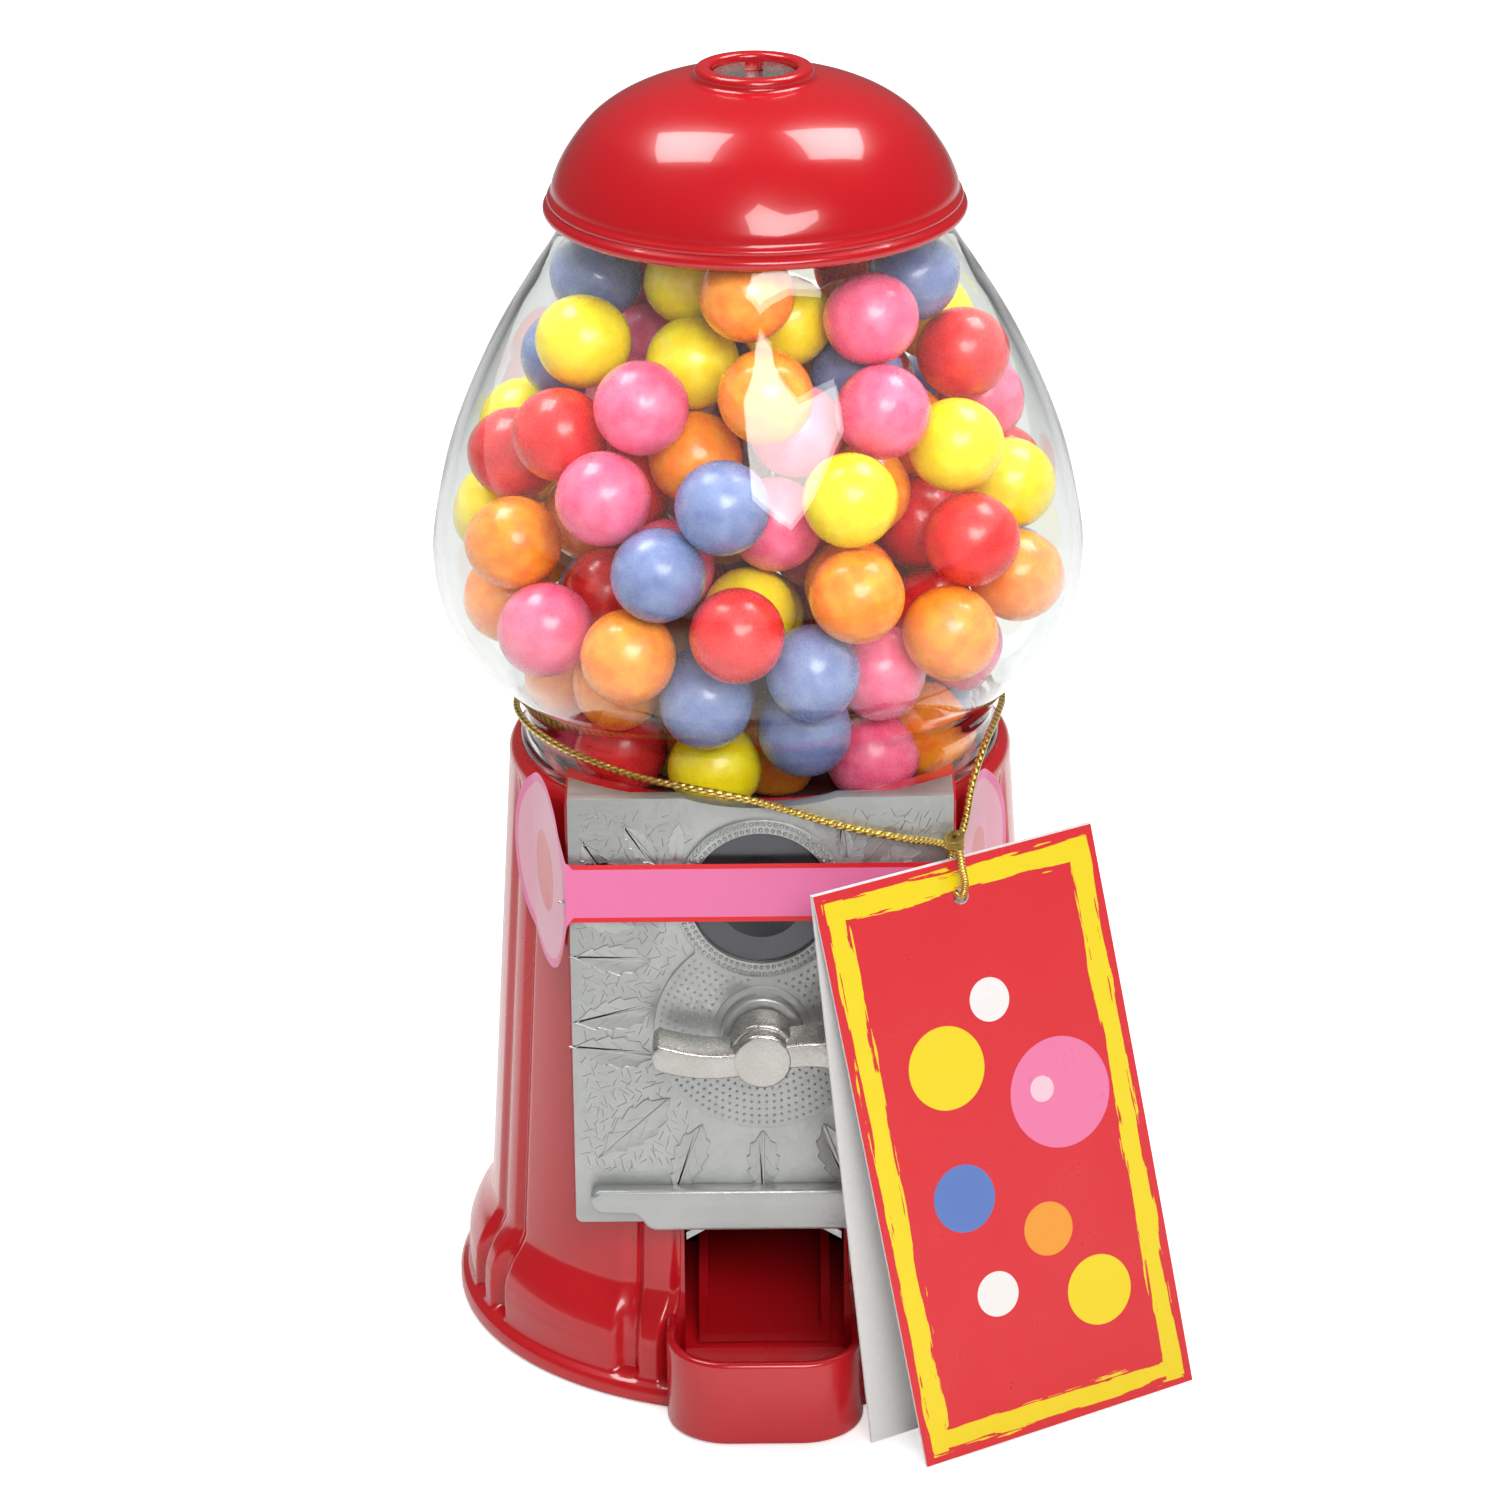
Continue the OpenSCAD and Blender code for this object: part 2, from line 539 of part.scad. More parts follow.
// Inner radius of the globe at a height, from its outline
function inner_at(z) = lookup(z - globe_z, [for (p = globe_line(glass_t)) [p[1], p[0]]]);

module lid_gasket() color("dimgray") translate([0, 0, globe_z + globe_h]) difference() {
    cylinder(r = globe_r - 24.6, h = 0.8);
    translate([0, 0, -1]) cylinder(r = globe_r - 26, h = 4);
}

function dome_line(d) = smooth([[dome_r - d, 2.6], [dome_r - 0.5 - d, 5], [dome_r - 2.3 - d, 9.5 - d * 0.3],
    [dome_r - 5.2 - d, 13.7 - d * 0.5], [dome_r - 8.2 - d, 16.7 - d * 0.7], [dome_r - 12.5 - d * 0.8, 19.4 - d * 0.9],
    [dome_r - 18 - d * 0.5, 21.7 - d], [collar_r, 23.4 - d], [well_r - 2, 24 - d]], 4);

module lid() color("crimson") translate([0, 0, lid_z]) difference() {
    union() {
        rotate_extrude() polygon(concat([[dome_r - lid_t, 0.4], [lid_r - 0.9, 0.4]], arc(lid_r - 1, 1.4, 1, -80, 80, 5),
            dome_line(0), rev(dome_line(lid_t))));
        // collar of two steps with the well for the nut
        rotate_extrude() polygon(concat([[0, lid_h - 9], [well_r + 2, lid_h - 9], [collar_r + 0.3, lid_h - 4.2],
            [collar_r + 0.3, lid_h - 3.2], [collar_r - 0.3, lid_h - 2.9]], arc(collar_r - 1.4, lid_h - 1.4, 1.4, -60, 90, 7), [[0, lid_h]]));
    }
    translate([0, 0, lid_h - 5.7]) cylinder(r = well_r, h = 20, $fn = 64);
    translate([0, 0, -1]) cylinder(r = rod_r + clear, h = 60, $fn = 48);
}

module lid_nut() color("silver") difference() {
    translate([0, 0, nut_z]) cylinder(r = well_r - clear, h = nut_h, $fn = 64);
    translate([0, 0, nut_z - 1]) cylinder(r = rod_r + run, h = 3.4, $fn = 48);
    translate([-1.5, -20, nut_z + nut_h - 1.6]) cube([3, 40, 9]);
}

module centre_rod() color("silver") translate([0, 0, hopper_z - 6]) cylinder(r = rod_r, h = nut_z + 2 - hopper_z + 6, $fn = 48);

module rod_washer() color("silver") translate([0, 0, hopper_z - 0.8]) difference() {
    cylinder(r = 5.4, h = 0.8, $fn = 48);
    translate([0, 0, -1]) cylinder(r = rod_r + 0.1, h = 4, $fn = 48);
}

module rod_nut() color("silver") translate([0, 0, hopper_z - 4.4]) difference() {
    cylinder(r = 4.6, h = 3.58, $fn = 6);
    translate([0, 0, -1]) cylinder(r = rod_r + 0.02, h = 9, $fn = 48);
}

// ---- Gumballs -------------------------------------------------------------------------------

ball_gap = 2 * ball_r + 0.12;
ball_top = 200;
// Height at which a ball dropped at x, y comes to rest on the hopper or on the balls below it
function rest_on(x, y, balls) = max([floor_at(x, y), for (b = balls)
    let (d2 = (b[0] - x) * (b[0] - x) + (b[1] - y) * (b[1] - y)) if (d2 < ball_gap * ball_gap) b[2] + sqrt(ball_gap * ball_gap - d2)]);
function floor_at(x, y) = max(norm([x, y]) > hopper_r - 7 ? seat_z + 6.6 : 0,
    hopper_z + 2.2 + ball_r * 1.02 + 0.1637 * max(0, norm([x, y - drum_y]) - outlet_r));
// How far from the axis the middle of a ball may stand at height z, inside the glass
function room(z) = let (need = ball_r + 0.35) min([99, for (p = globe_line(glass_t)) let (dz = globe_z + p[1] - z)
    if (abs(dz) < need) p[0] - sqrt(need * need - dz * dz)]);
room_by_height = [for (z = [100:206]) [z, room(z)]];
// Drops a ball beside the glass or further in, and drops it again where the glass has room at its height
function drop(a, inset, balls, r, left) = let (x = r * cos(a), y = r * sin(a), z = rest_on(x, y, balls))
    left == 0 ? [x, y, z, r] : drop(a, inset, balls, lookup(z, room_by_height) - inset, left - 1);
function lowest(spots, i = 0, best = [0, 0, 999]) = i == len(spots) ? best :
    lowest(spots, i + 1, spots[i][2] < best[2] ? spots[i] : best);
// Heaps balls up to ball_top: each one goes to the lowest place that is left
function heap(balls = []) = let (next = lowest([for (inset = [0, ball_gap + 0.28, 2 * ball_gap + 0.56], i = [0:47])
        let (b = drop(7.5 * i + 7 * len(balls), inset, balls, 30 - inset / 2, 2))
        if (b[3] > rod_r + ball_r + 0.4 && b[3] <= lookup(b[2], room_by_height) + 0.15) b]))
    next[2] > ball_top ? balls : heap(concat(balls, [next]));

ball_colours = str("oprbyryrobporpyypbbopybopyorbopyrbpbroopoboopporyryyoyrprobpybpoyo",
    "ryproorrbrryporroboyyroopbyoropyrbrppyrpbpboypryyooyrrpypypbboyro");

module gumballs(letter) {
    balls = heap();
    for (i = [0:len(balls) - 1]) if (ball_colours[i % len(ball_colours)] == letter)
        translate([balls[i][0], balls[i][1], balls[i][2]]) sphere(r = ball_r);
}

module gumballs_red() color("red") gumballs("r");
module gumballs_orange() color("orange") gumballs("o");
module gumballs_yellow() color("yellow") gumballs("y");
module gumballs_pink() color("hotpink") gumballs("p");
module gumballs_blue() color("lightslategray") gumballs("b");

// ---- Paper seal, cord and card --------------------------------------------------------------

seal_z = 98;
seal_y = plate_y + 1.3;

module seal_band() color("pink") intersection() {
    union() {
        translate([-plate_w / 2 - 0.4, -seal_y - 0.3, 60]) cube([plate_w + 0.8, 0.3, 60]);
        for (s = [-1, 1]) translate([0, 0, 60]) linear_extrude(60) {
            polygon([[s * (plate_w / 2 + 0.4), -seal_y - 0.3], [s * (plate_w / 2 + 0.4), -seal_y],
                [s * 39.5, -24.6], [s * 39.9, -24.8]]);
        }
        for (s = [-1, 1]) linear_extrude(120) intersection() {
            difference() {
                circle(46.6);
                circle(46.3);
            }
            polygon([[0, 0], [s * 60, -37.4], [s * 60, -6]]);
        }
    }
    rotate([90, 0, 0]) linear_extrude(80) {
        translate([-40, seal_z - 5.4]) square([80, 10.8]);
        for (s = [-1, 1]) translate([s * 39, seal_z - 3]) oval(5.9, 16);
    }
}

module oval(a, b) polygon([for (t = [0:10:350]) [a * cos(t), b * sin(t)]]);

// Folded card that stands before the base and hangs from the cord
fold_at = [8.4, -68, 104.8];
card_dir = [0.846, 0.534, 0];
front_foot = [27.6, -75.3, 0.4];
back_foot = [18.5, -67.1, 0.4];
card_out = [0.534, -0.846, 0];
hole_u = 28.4;
hole_v = 6.5;

module leaf(foot, side) {
    n = card_out * side * card_t;
    polyhedron(
        points = [for (p = [fold_at, fold_at + card_dir * card_w, foot + card_dir * card_w, foot], k = [0, 1]) p + n * k],
        faces = side > 0 ? [[0, 2, 4, 6], [7, 5, 3, 1], [1, 3, 2, 0], [3, 5, 4, 2], [5, 7, 6, 4], [7, 1, 0, 6]]
            : [[6, 4, 2, 0], [1, 3, 5, 7], [0, 2, 3, 1], [2, 4, 5, 3], [4, 6, 7, 5], [6, 0, 1, 7]]);
}

module hang_tag() color("orangered") difference() {
    union() {
        leaf(front_foot, 1);
        leaf(back_foot, -1);
    }
    translate(fold_at + card_dir * hole_u + (front_foot - fold_at) * hole_v / 107) rotate([90, 0, 32.3])
        translate([0, 0, -6]) cylinder(r = 1.5, h = 12, $fn = 32);
}

// The cord's route, from the clasp down through the card, up again and round the neck of the globe
cord_points = [[32.6, -51.9, 107.6], [32.3, -51.45, 104.6], [32.1, -51.4, 101], [32.4, -51.7, 98.9], [33.3, -53, 98.3],
    [34.2, -54.5, 98.9], [34.5, -55.3, 101.2], [34, -55, 104], [33.2, -53.1, 106.8], [29.5, -51.6, 107.4],
    [24, -50.9, 107.9], [13.7, -50.8, 110.2], [5, -50.5, 112.9], [-2, -49.7, 114.7], [-12, -47.2, 115.9],
    [-20.6, -42.6, 116], [-28.5, -35.5, 116], [-36, -25.4, 115.6], [-41.4, -13, 115], [-42.9, 0, 114],
    [-39.6, 16.4, 113.4], [-30.3, 30.3, 113.2], [-16.4, 39.6, 113.2], [0, 42.9, 113.2], [16.4, 39.6, 113.2],
    [30.3, 30.3, 113.2], [39.6, 16.4, 113.5], [42.9, 0, 114.3], [41.6, -14, 115.4], [39, -27, 115.5],
    [36.3, -39, 113], [34.7, -48, 109.3], [33.3, -52.4, 107.4]];

module cord_tube(p, r, sides = 8) {
    rings = [for (i = [0:len(p) - 1]) let (d = p[min(i + 1, len(p) - 1)] - p[max(i - 1, 0)], t = d / norm(d),
        u = cross(t, abs(t[2]) > 0.8 ? [1, 0, 0] : [0, 0, 1]), v = u / norm(u), w = cross(v, t))
        for (k = [0:sides - 1]) p[i] + r * (cos(360 / sides * k) * v + sin(360 / sides * k) * w)];
    n = len(p);
    polyhedron(points = rings, faces = concat([[for (k = [0:sides - 1]) k]], [[for (k = [sides - 1:-1:0]) (n - 1) * sides + k]],
        [for (i = [0:n - 2], k = [0:sides - 1]) [i * sides + k, (i + 1) * sides + k, (i + 1) * sides + (k + 1) % sides, i * sides + (k + 1) % sides]]));
}

module tag_cord() color("gold") cord_tube(smooth(cord_points, 3), cord_d / 2);

module cord_clasp() color("gold") translate([32.8, -52.3, 106.3]) cylinder(r = 1.9, h = 2.6, $fn = 32);

base_housing();
bottom_cover();
cover_screws();
coin_plug();
front_plate();
plate_screws();
coin_window_cup();
front_bush();
handle();
handle_pin();
drive_shaft();
coin_wheel();
ratchet_wheel();
pawl_plate();
pawl();
pawl_spring();
dispensing_drum();
drum_housing();
rear_clip();
hopper();
hopper_screws();
chute();
chute_screws();
coin_deflector();
neck_gasket();
globe();
lid_gasket();
lid();
lid_nut();
centre_rod();
rod_nut();
rod_washer();
gumballs_red();
gumballs_orange();
gumballs_yellow();
gumballs_pink();
gumballs_blue();
seal_band();
tag_cord();
cord_clasp();
hang_tag();
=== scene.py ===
"""Looks of a small die-cast gumball machine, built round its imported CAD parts."""

import math
import random

import bpy
from mathutils import Matrix, Vector


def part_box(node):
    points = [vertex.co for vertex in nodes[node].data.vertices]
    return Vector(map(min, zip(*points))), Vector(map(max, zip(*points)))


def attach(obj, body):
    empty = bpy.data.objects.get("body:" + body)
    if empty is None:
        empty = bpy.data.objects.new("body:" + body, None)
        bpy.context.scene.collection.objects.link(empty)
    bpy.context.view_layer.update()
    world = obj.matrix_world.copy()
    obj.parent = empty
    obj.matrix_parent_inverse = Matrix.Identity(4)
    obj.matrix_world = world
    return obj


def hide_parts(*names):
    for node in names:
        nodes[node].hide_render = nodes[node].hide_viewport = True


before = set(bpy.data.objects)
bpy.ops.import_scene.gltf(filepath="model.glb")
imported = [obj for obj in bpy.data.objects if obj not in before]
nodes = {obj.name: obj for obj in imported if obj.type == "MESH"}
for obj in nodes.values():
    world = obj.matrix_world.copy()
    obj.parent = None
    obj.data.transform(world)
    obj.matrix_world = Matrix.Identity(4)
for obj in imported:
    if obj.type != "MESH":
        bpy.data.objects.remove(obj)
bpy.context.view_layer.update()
mm = 0.001

# ---- Camera ----------------------------------------------------------------------------------
# One long lens, a little over a metre off and looking down at the front of the machine.

camera_data = bpy.data.cameras.new("camera")
camera_data.sensor_width = 36
camera_data.lens = 132.49
camera_data.clip_start = 0.05
camera = bpy.data.objects.new("camera", camera_data)
bpy.context.scene.collection.objects.link(camera)
camera.location = (0, -0.9106, 0.4758)
camera.rotation_mode = "XYZ"
# it looks along -Z of its own frame: roll first, then pitch, then yaw
roll = Matrix.Rotation(math.radians(-0.538), 3, "Z")
pitch = Matrix.Rotation(math.radians(90 - 22.24), 3, "X")
yaw = Matrix.Rotation(math.radians(0.11), 3, "Z")
camera.rotation_euler = (yaw @ pitch @ roll).to_euler()
bpy.context.scene.camera = camera

# ---- Gold cord -------------------------------------------------------------------------------
# A thin braided cord of gold thread. It goes from its knot through the hole of the card, up again,
# round the neck of the globe over the front plate, and back down into the same knot.

cord_size = 1.3 * mm
cord_route = [
    (32.6, -51.9, 107.6), (32.3, -51.45, 104.6), (32.1, -51.4, 101), (32.4, -51.7, 98.9), (33.3, -53, 98.3),
    (34.2, -54.5, 98.9), (34.5, -55.3, 101.2), (34, -55, 104), (33.2, -53.1, 106.8), (29.5, -51.6, 107.4),
    (24, -50.9, 107.9), (13.7, -50.8, 110.2), (5, -50.5, 112.9), (-2, -49.7, 114.7), (-12, -47.2, 115.9),
    (-20.6, -42.6, 116), (-28.5, -35.5, 116), (-36, -25.4, 115.6), (-41.4, -13, 115), (-42.9, 0, 114),
    (-39.6, 16.4, 113.4), (-30.3, 30.3, 113.2), (-16.4, 39.6, 113.2), (0, 42.9, 113.2), (16.4, 39.6, 113.2),
    (30.3, 30.3, 113.2), (39.6, 16.4, 113.5), (42.9, 0, 114.3), (41.6, -14, 115.4), (39, -27, 115.5),
    (36.3, -39, 113), (34.7, -48, 109.3), (33.3, -52.4, 107.4),
]


def smooth_line(points, steps):
    """Points of a smooth curve through a few given points."""
    line = []
    for i in range(len(points) - 1):
        a, b = Vector(points[max(i - 1, 0)]), Vector(points[i])
        c, d = Vector(points[i + 1]), Vector(points[min(i + 2, len(points) - 1)])
        for k in range(steps):
            t = k / steps
            square, cube = 2 * a - 5 * b + 4 * c - d, 3 * b - a - 3 * c + d
            line.append(0.5 * (2 * b + (c - a) * t + square * t * t + cube * t ** 3))
    line.append(Vector(points[-1]))
    return line


def material(name, color=(0.5, 0.5, 0.5), rough=0.4, metal=0.0, coat=0.0, coat_rough=0.03):
    """A plain material, and its nodes and Principled BSDF for what is added."""
    made = bpy.data.materials.new(name)
    made.use_nodes = True
    shader = made.node_tree.nodes["Principled BSDF"]
    shader.inputs["Base Color"].default_value = (*color, 1)
    shader.inputs["Roughness"].default_value = rough
    shader.inputs["Metallic"].default_value = metal
    shader.inputs["Coat Weight"].default_value = coat
    shader.inputs["Coat Roughness"].default_value = coat_rough
    made.diffuse_color = (*color, 1)
    return made


def add_node(made, kind, **values):
    """A shader node, with its properties and the default values of its inputs."""
    node = made.node_tree.nodes.new(kind)
    for key, value in values.items():
        if key in node.inputs:
            node.inputs[key].default_value = value
        else:
            setattr(node, key, value)
    return node


def join(made, out, into):
    made.node_tree.links.new(out, into)


def shader_of(made):
    return made.node_tree.nodes["Principled BSDF"]


def feed(made, socket, value):
    """Leads a node's output into one input of the Principled BSDF."""
    join(made, value, shader_of(made).inputs[socket])


def wear_group():
    """Slow and fine unevenness, from one coordinate, for every finish: a mask and a height."""
    group = bpy.data.node_groups.new("unevenness", "ShaderNodeTree")
    face = group.interface
    face.new_socket(name="Place", in_out="INPUT", socket_type="NodeSocketVector")
    face.new_socket(name="Slow size", in_out="INPUT", socket_type="NodeSocketFloat")
    face.new_socket(name="Fine size", in_out="INPUT", socket_type="NodeSocketFloat")
    face.new_socket(name="Slow", in_out="OUTPUT", socket_type="NodeSocketFloat")
    face.new_socket(name="Fine", in_out="OUTPUT", socket_type="NodeSocketFloat")
    start = group.nodes.new("NodeGroupInput")
    end = group.nodes.new("NodeGroupOutput")
    for size, out, detail in (("Slow size", "Slow", 4), ("Fine size", "Fine", 6)):
        noise = group.nodes.new("ShaderNodeTexNoise")
        noise.inputs["Detail"].default_value = detail
        group.links.new(start.outputs["Place"], noise.inputs["Vector"])
        group.links.new(start.outputs[size], noise.inputs["Scale"])
        group.links.new(noise.outputs["Fac"], end.inputs[out])
    return group


unevenness = wear_group()


def add_unevenness(made, slow, fine, coordinate="Object"):
    place = add_node(made, "ShaderNodeTexCoord")
    wear = add_node(made, "ShaderNodeGroup", node_tree=unevenness)
    wear.inputs["Slow size"].default_value = slow
    wear.inputs["Fine size"].default_value = fine
    join(made, place.outputs[coordinate], wear.inputs["Place"])
    return wear


def add_range(made, value, low, high, start=0.3, end=0.7):
    """Turns a mask into a value between low and high."""
    node = add_node(made, "ShaderNodeMapRange")
    node.inputs["From Min"].default_value = start
    node.inputs["From Max"].default_value = end
    node.inputs["To Min"].default_value = low
    node.inputs["To Max"].default_value = high
    join(made, value, node.inputs["Value"])
    return node.outputs["Result"]


def add_mix(made, mask, first, second):
    """Mixes two colours, each a colour or another node's output, by a mask."""
    node = add_node(made, "ShaderNodeMix", data_type="RGBA")
    join(made, mask, node.inputs["Factor"])
    for value, socket in ((first, node.inputs[6]), (second, node.inputs[7])):
        if isinstance(value, tuple):
            socket.default_value = (*value, 1)
        else:
            join(made, value, socket)
    return node.outputs[2]


def add_bump(made, height, distance, strength=1.0):
    bump = add_node(made, "ShaderNodeBump")
    bump.inputs["Strength"].default_value = strength
    bump.inputs["Distance"].default_value = distance
    join(made, height, bump.inputs["Height"])
    feed(made, "Normal", bump.outputs["Normal"])
    return bump


def add_wear(made, slow, fine, colours, rough, bump, rough_by="Fine"):
    """Uneven colour, roughness and height, all from one unevenness."""
    wear = add_unevenness(made, slow, fine)
    if colours:
        feed(made, "Base Color", add_mix(made, wear.outputs["Slow"], *colours))
    feed(made, "Roughness", add_range(made, wear.outputs[rough_by], *rough))
    add_bump(made, wear.outputs["Fine"], *bump)


def dress(piece, made):
    piece.data.materials.clear()
    piece.data.materials.append(made)


gold_thread = material("gold_thread", (0.78, 0.5, 0.1), 0.28, metal=0.9)
thread_uv = add_node(gold_thread, "ShaderNodeTexCoord")
thread_map = add_node(gold_thread, "ShaderNodeMapping")
thread_map.inputs["Scale"].default_value = (260, 2, 1)
thread_wave = add_node(gold_thread, "ShaderNodeTexWave", wave_type="BANDS", bands_direction="DIAGONAL")
thread_wave.inputs["Scale"].default_value = 0.5
thread_wave.inputs["Distortion"].default_value = 1.2
join(gold_thread, thread_uv.outputs["UV"], thread_map.inputs["Vector"])
join(gold_thread, thread_map.outputs["Vector"], thread_wave.inputs["Vector"])
thread_colour = add_mix(gold_thread, thread_wave.outputs["Fac"], (0.52, 0.3, 0.03), (1.0, 0.78, 0.24))
feed(gold_thread, "Base Color", thread_colour)
add_bump(gold_thread, thread_wave.outputs["Fac"], 0.00018)

cord_curve = bpy.data.curves.new("gold_cord", "CURVE")
cord_curve.dimensions = "3D"
cord_curve.bevel_depth = cord_size / 2
cord_curve.bevel_resolution = 3
cord_line = smooth_line(cord_route, 6)
spline = cord_curve.splines.new("POLY")
spline.points.add(len(cord_line) - 1)
for point, place in zip(spline.points, cord_line):
    point.co = (*(place * mm), 1)
gold_cord = bpy.data.objects.new("gold_cord", cord_curve)
bpy.context.scene.collection.objects.link(gold_cord)
dress(gold_cord, gold_thread)
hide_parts("tag_cord")

# ---- Knot of the cord ------------------------------------------------------------------------
# Both ends of the cord are tied together over the card: three tight turns. Its two short tails are not made.


def clear_selection():
    if bpy.context.object and bpy.context.object.mode != "OBJECT":
        bpy.ops.object.mode_set(mode="OBJECT")
    bpy.ops.object.select_all(action="DESELECT")


def take(piece):
    clear_selection()
    piece.select_set(True)
    bpy.context.view_layer.objects.active = piece


def face_outward(piece):
    take(piece)
    bpy.ops.object.mode_set(mode="EDIT")
    bpy.ops.mesh.select_all(action="SELECT")
    bpy.ops.mesh.normals_make_consistent(inside=False)
    bpy.ops.object.mode_set(mode="OBJECT")
    return piece


def settle(piece):
    """Applies the object's place, so that it lies in its mesh."""
    take(piece)
    bpy.ops.object.transform_apply(location=True, rotation=True, scale=True)
    return piece


def named(name):
    piece = bpy.context.object
    piece.name = name
    piece.data.name = name
    return piece


def unite(name, pieces):
    clear_selection()
    for piece in pieces:
        piece.select_set(True)
    bpy.context.view_layer.objects.active = pieces[0]
    bpy.ops.object.join()
    return named(name)


def smooth_faces(piece, angle=35):
    take(piece)
    bpy.ops.object.shade_smooth_by_angle(angle=math.radians(angle))
    return piece


knot_low, knot_high = [Vector(v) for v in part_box("cord_clasp")]
knot_at = (knot_low + knot_high) / 2
knot_turns = []
for turn, height in enumerate((-0.8, 0.1, 0.9)):
    clear_selection()
    bpy.ops.mesh.primitive_torus_add(
        location=knot_at + Vector((0, 0, height * mm)),
        rotation=(math.radians(14 * (turn - 1)), math.radians(10 - 9 * turn), 0),
        major_radius=1.15 * mm,
        minor_radius=0.62 * mm,
        major_segments=28,
        minor_segments=10,
    )
    knot_turns.append(settle(named("knot_turn")))
cord_knot = smooth_faces(unite("cord_knot", knot_turns))
dress(cord_knot, gold_thread)
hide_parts("cord_clasp")
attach(cord_knot, "frame")
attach(gold_cord, "frame")

# ---- Red base --------------------------------------------------------------------------------
# A zinc casting, painted red. Eight wide panels stand round it with a narrow rib between each two,
# and at the foot every panel and rib swells into a rounded block above the plain skirt.

red_paint = material("red_paint", (0.56, 0.006, 0.012), 0.24, coat=0.6, coat_rough=0.04)
add_wear(
    red_paint, 18, 900, ((0.5, 0.005, 0.011), (0.62, 0.008, 0.014)), (0.2, 0.3), (0.00004, 0.35), "Slow"
)

panel_count = 8
rib_half_angle = math.radians(4.8)
foot_radius = 56
wall_low = 49.7
wall_top = 44.6
base_top = 107.6
seat_height = 102.2
cast_wall = 2.2
neck_socket = 42.6
hopper_seat = 36.5


def single_point(name):
    """A mesh of one point at the middle, left in edit mode to be extruded."""
    clear_selection()
    bpy.ops.mesh.primitive_plane_add(size=0.001)
    piece = named(name)
    bpy.ops.object.mode_set(mode="EDIT")
    bpy.ops.mesh.select_mode(type="VERT")
    bpy.ops.mesh.select_all(action="SELECT")
    bpy.ops.mesh.merge(type="CENTER")
    return piece


def turned(name, outline, steps):
    """Turns an outline of (radius, height) points, in mm, round the upright axis."""
    piece = single_point(name)
    first = Vector((outline[0][0] * mm, 0, outline[0][1] * mm))
    bpy.ops.transform.translate(value=first)
    at = first
    for radius, height in outline[1:]:
        new = Vector((radius * mm, 0, height * mm))
        bpy.ops.mesh.extrude_region_move(TRANSFORM_OT_translate={"value": new - at})
        at = new
    bpy.ops.mesh.extrude_region_move(TRANSFORM_OT_translate={"value": first - at})
    bpy.ops.mesh.select_all(action="SELECT")
    bpy.ops.mesh.spin(steps=steps, angle=2 * math.pi, center=(0, 0, 0), axis=(0, 0, 1), use_auto_merge=True)
    bpy.ops.mesh.select_all(action="SELECT")
    bpy.ops.mesh.remove_doubles(threshold=0.000005)
    bpy.ops.mesh.normals_make_consistent(inside=False)
    bpy.ops.object.mode_set(mode="OBJECT")
    return piece


def bent(points, steps=4):
    """A smooth outline through a few points."""
    return [(p.x, p.y) for p in smooth_line([(x, z, 0) for x, z in points], steps)]


def rounded(cx, cz, radius, start, end, count=6):
    return [
        (
            cx + radius * math.cos(math.radians(start + (end - start) * i / count)),
            cz + radius * math.sin(math.radians(start + (end - start) * i / count)),
        )
        for i in range(count + 1)
    ]


def level(low, high, value):
    """0 below low, 1 above high, and a smooth step between them."""
    t = min(1, max(0, (value - low) / (high - low)))
    return t * t * (3 - 2 * t)


base_outside = (
    [(foot_radius - cast_wall, 0), (foot_radius - 0.5, 0), (foot_radius, 0.5), (foot_radius, 2.6)]
    + [(foot_radius - inset, z) for inset, z in ((0.5, 3.2), (1.3, 3.6), (1.55, 3.9), (1.65, 4.6))]
    + [(foot_radius - 1.7, 5 + 0.6 * i) for i in range(7)]
    + bent([(foot_radius - inset, z) for inset, z in ((1.8, 9.2), (2, 11.6), (3.2, 14.6), (5.1, 17.4))]
           + [(wall_low + 0.1, 19.6), (wall_low - 0.1, 22)], 6)
    + [(wall_low + (wall_top - wall_low) * (z - 22) / 83 - 0.1, z) for z in range(26, 105, 6)]
    + rounded(wall_top - 2.6, base_top - 2.6, 2.6, 8, 88, 7)
    + [(neck_socket + 0.4, base_top), (neck_socket, base_top - 0.4)]
)
base_inside = [
    (neck_socket, seat_height), (hopper_seat, seat_height), (hopper_seat, 96.7), (31.8, 96.7), (31.8, 94.2),
    (42.9, 92.7), (wall_low - cast_wall - 0.6, 19), (foot_radius - 4.6, 9), (foot_radius - 4.6, 4),
]
base_casting = turned("base_casting", base_outside + base_inside, 900)


def flute(angle, height):
    """How far the outer wall stands back, in mm, at an angle and a height."""
    pitch = 2 * math.pi / panel_count
    from_rib = (angle / pitch - 0.5 - round(angle / pitch - 0.5)) * pitch
    foot = 1 - level(11.5, 19.5, height)
    across = abs(abs(from_rib) - rib_half_angle * (1 - 0.06 * foot)) * 48
    half = 1.05 + 0.75 * foot
    depth = 0.95 + 1.35 * foot
    inside_rib = abs(from_rib) < rib_half_angle
    edge = 0.8 if inside_rib else 2.2 - foot
    groove = depth * (1 - level(half * 0.35, half + edge, across))
    bead = 0
    if inside_rib:
        bead = 0.55 * (1 - foot) * (abs(from_rib) / rib_half_angle) ** 2
    return groove + bead


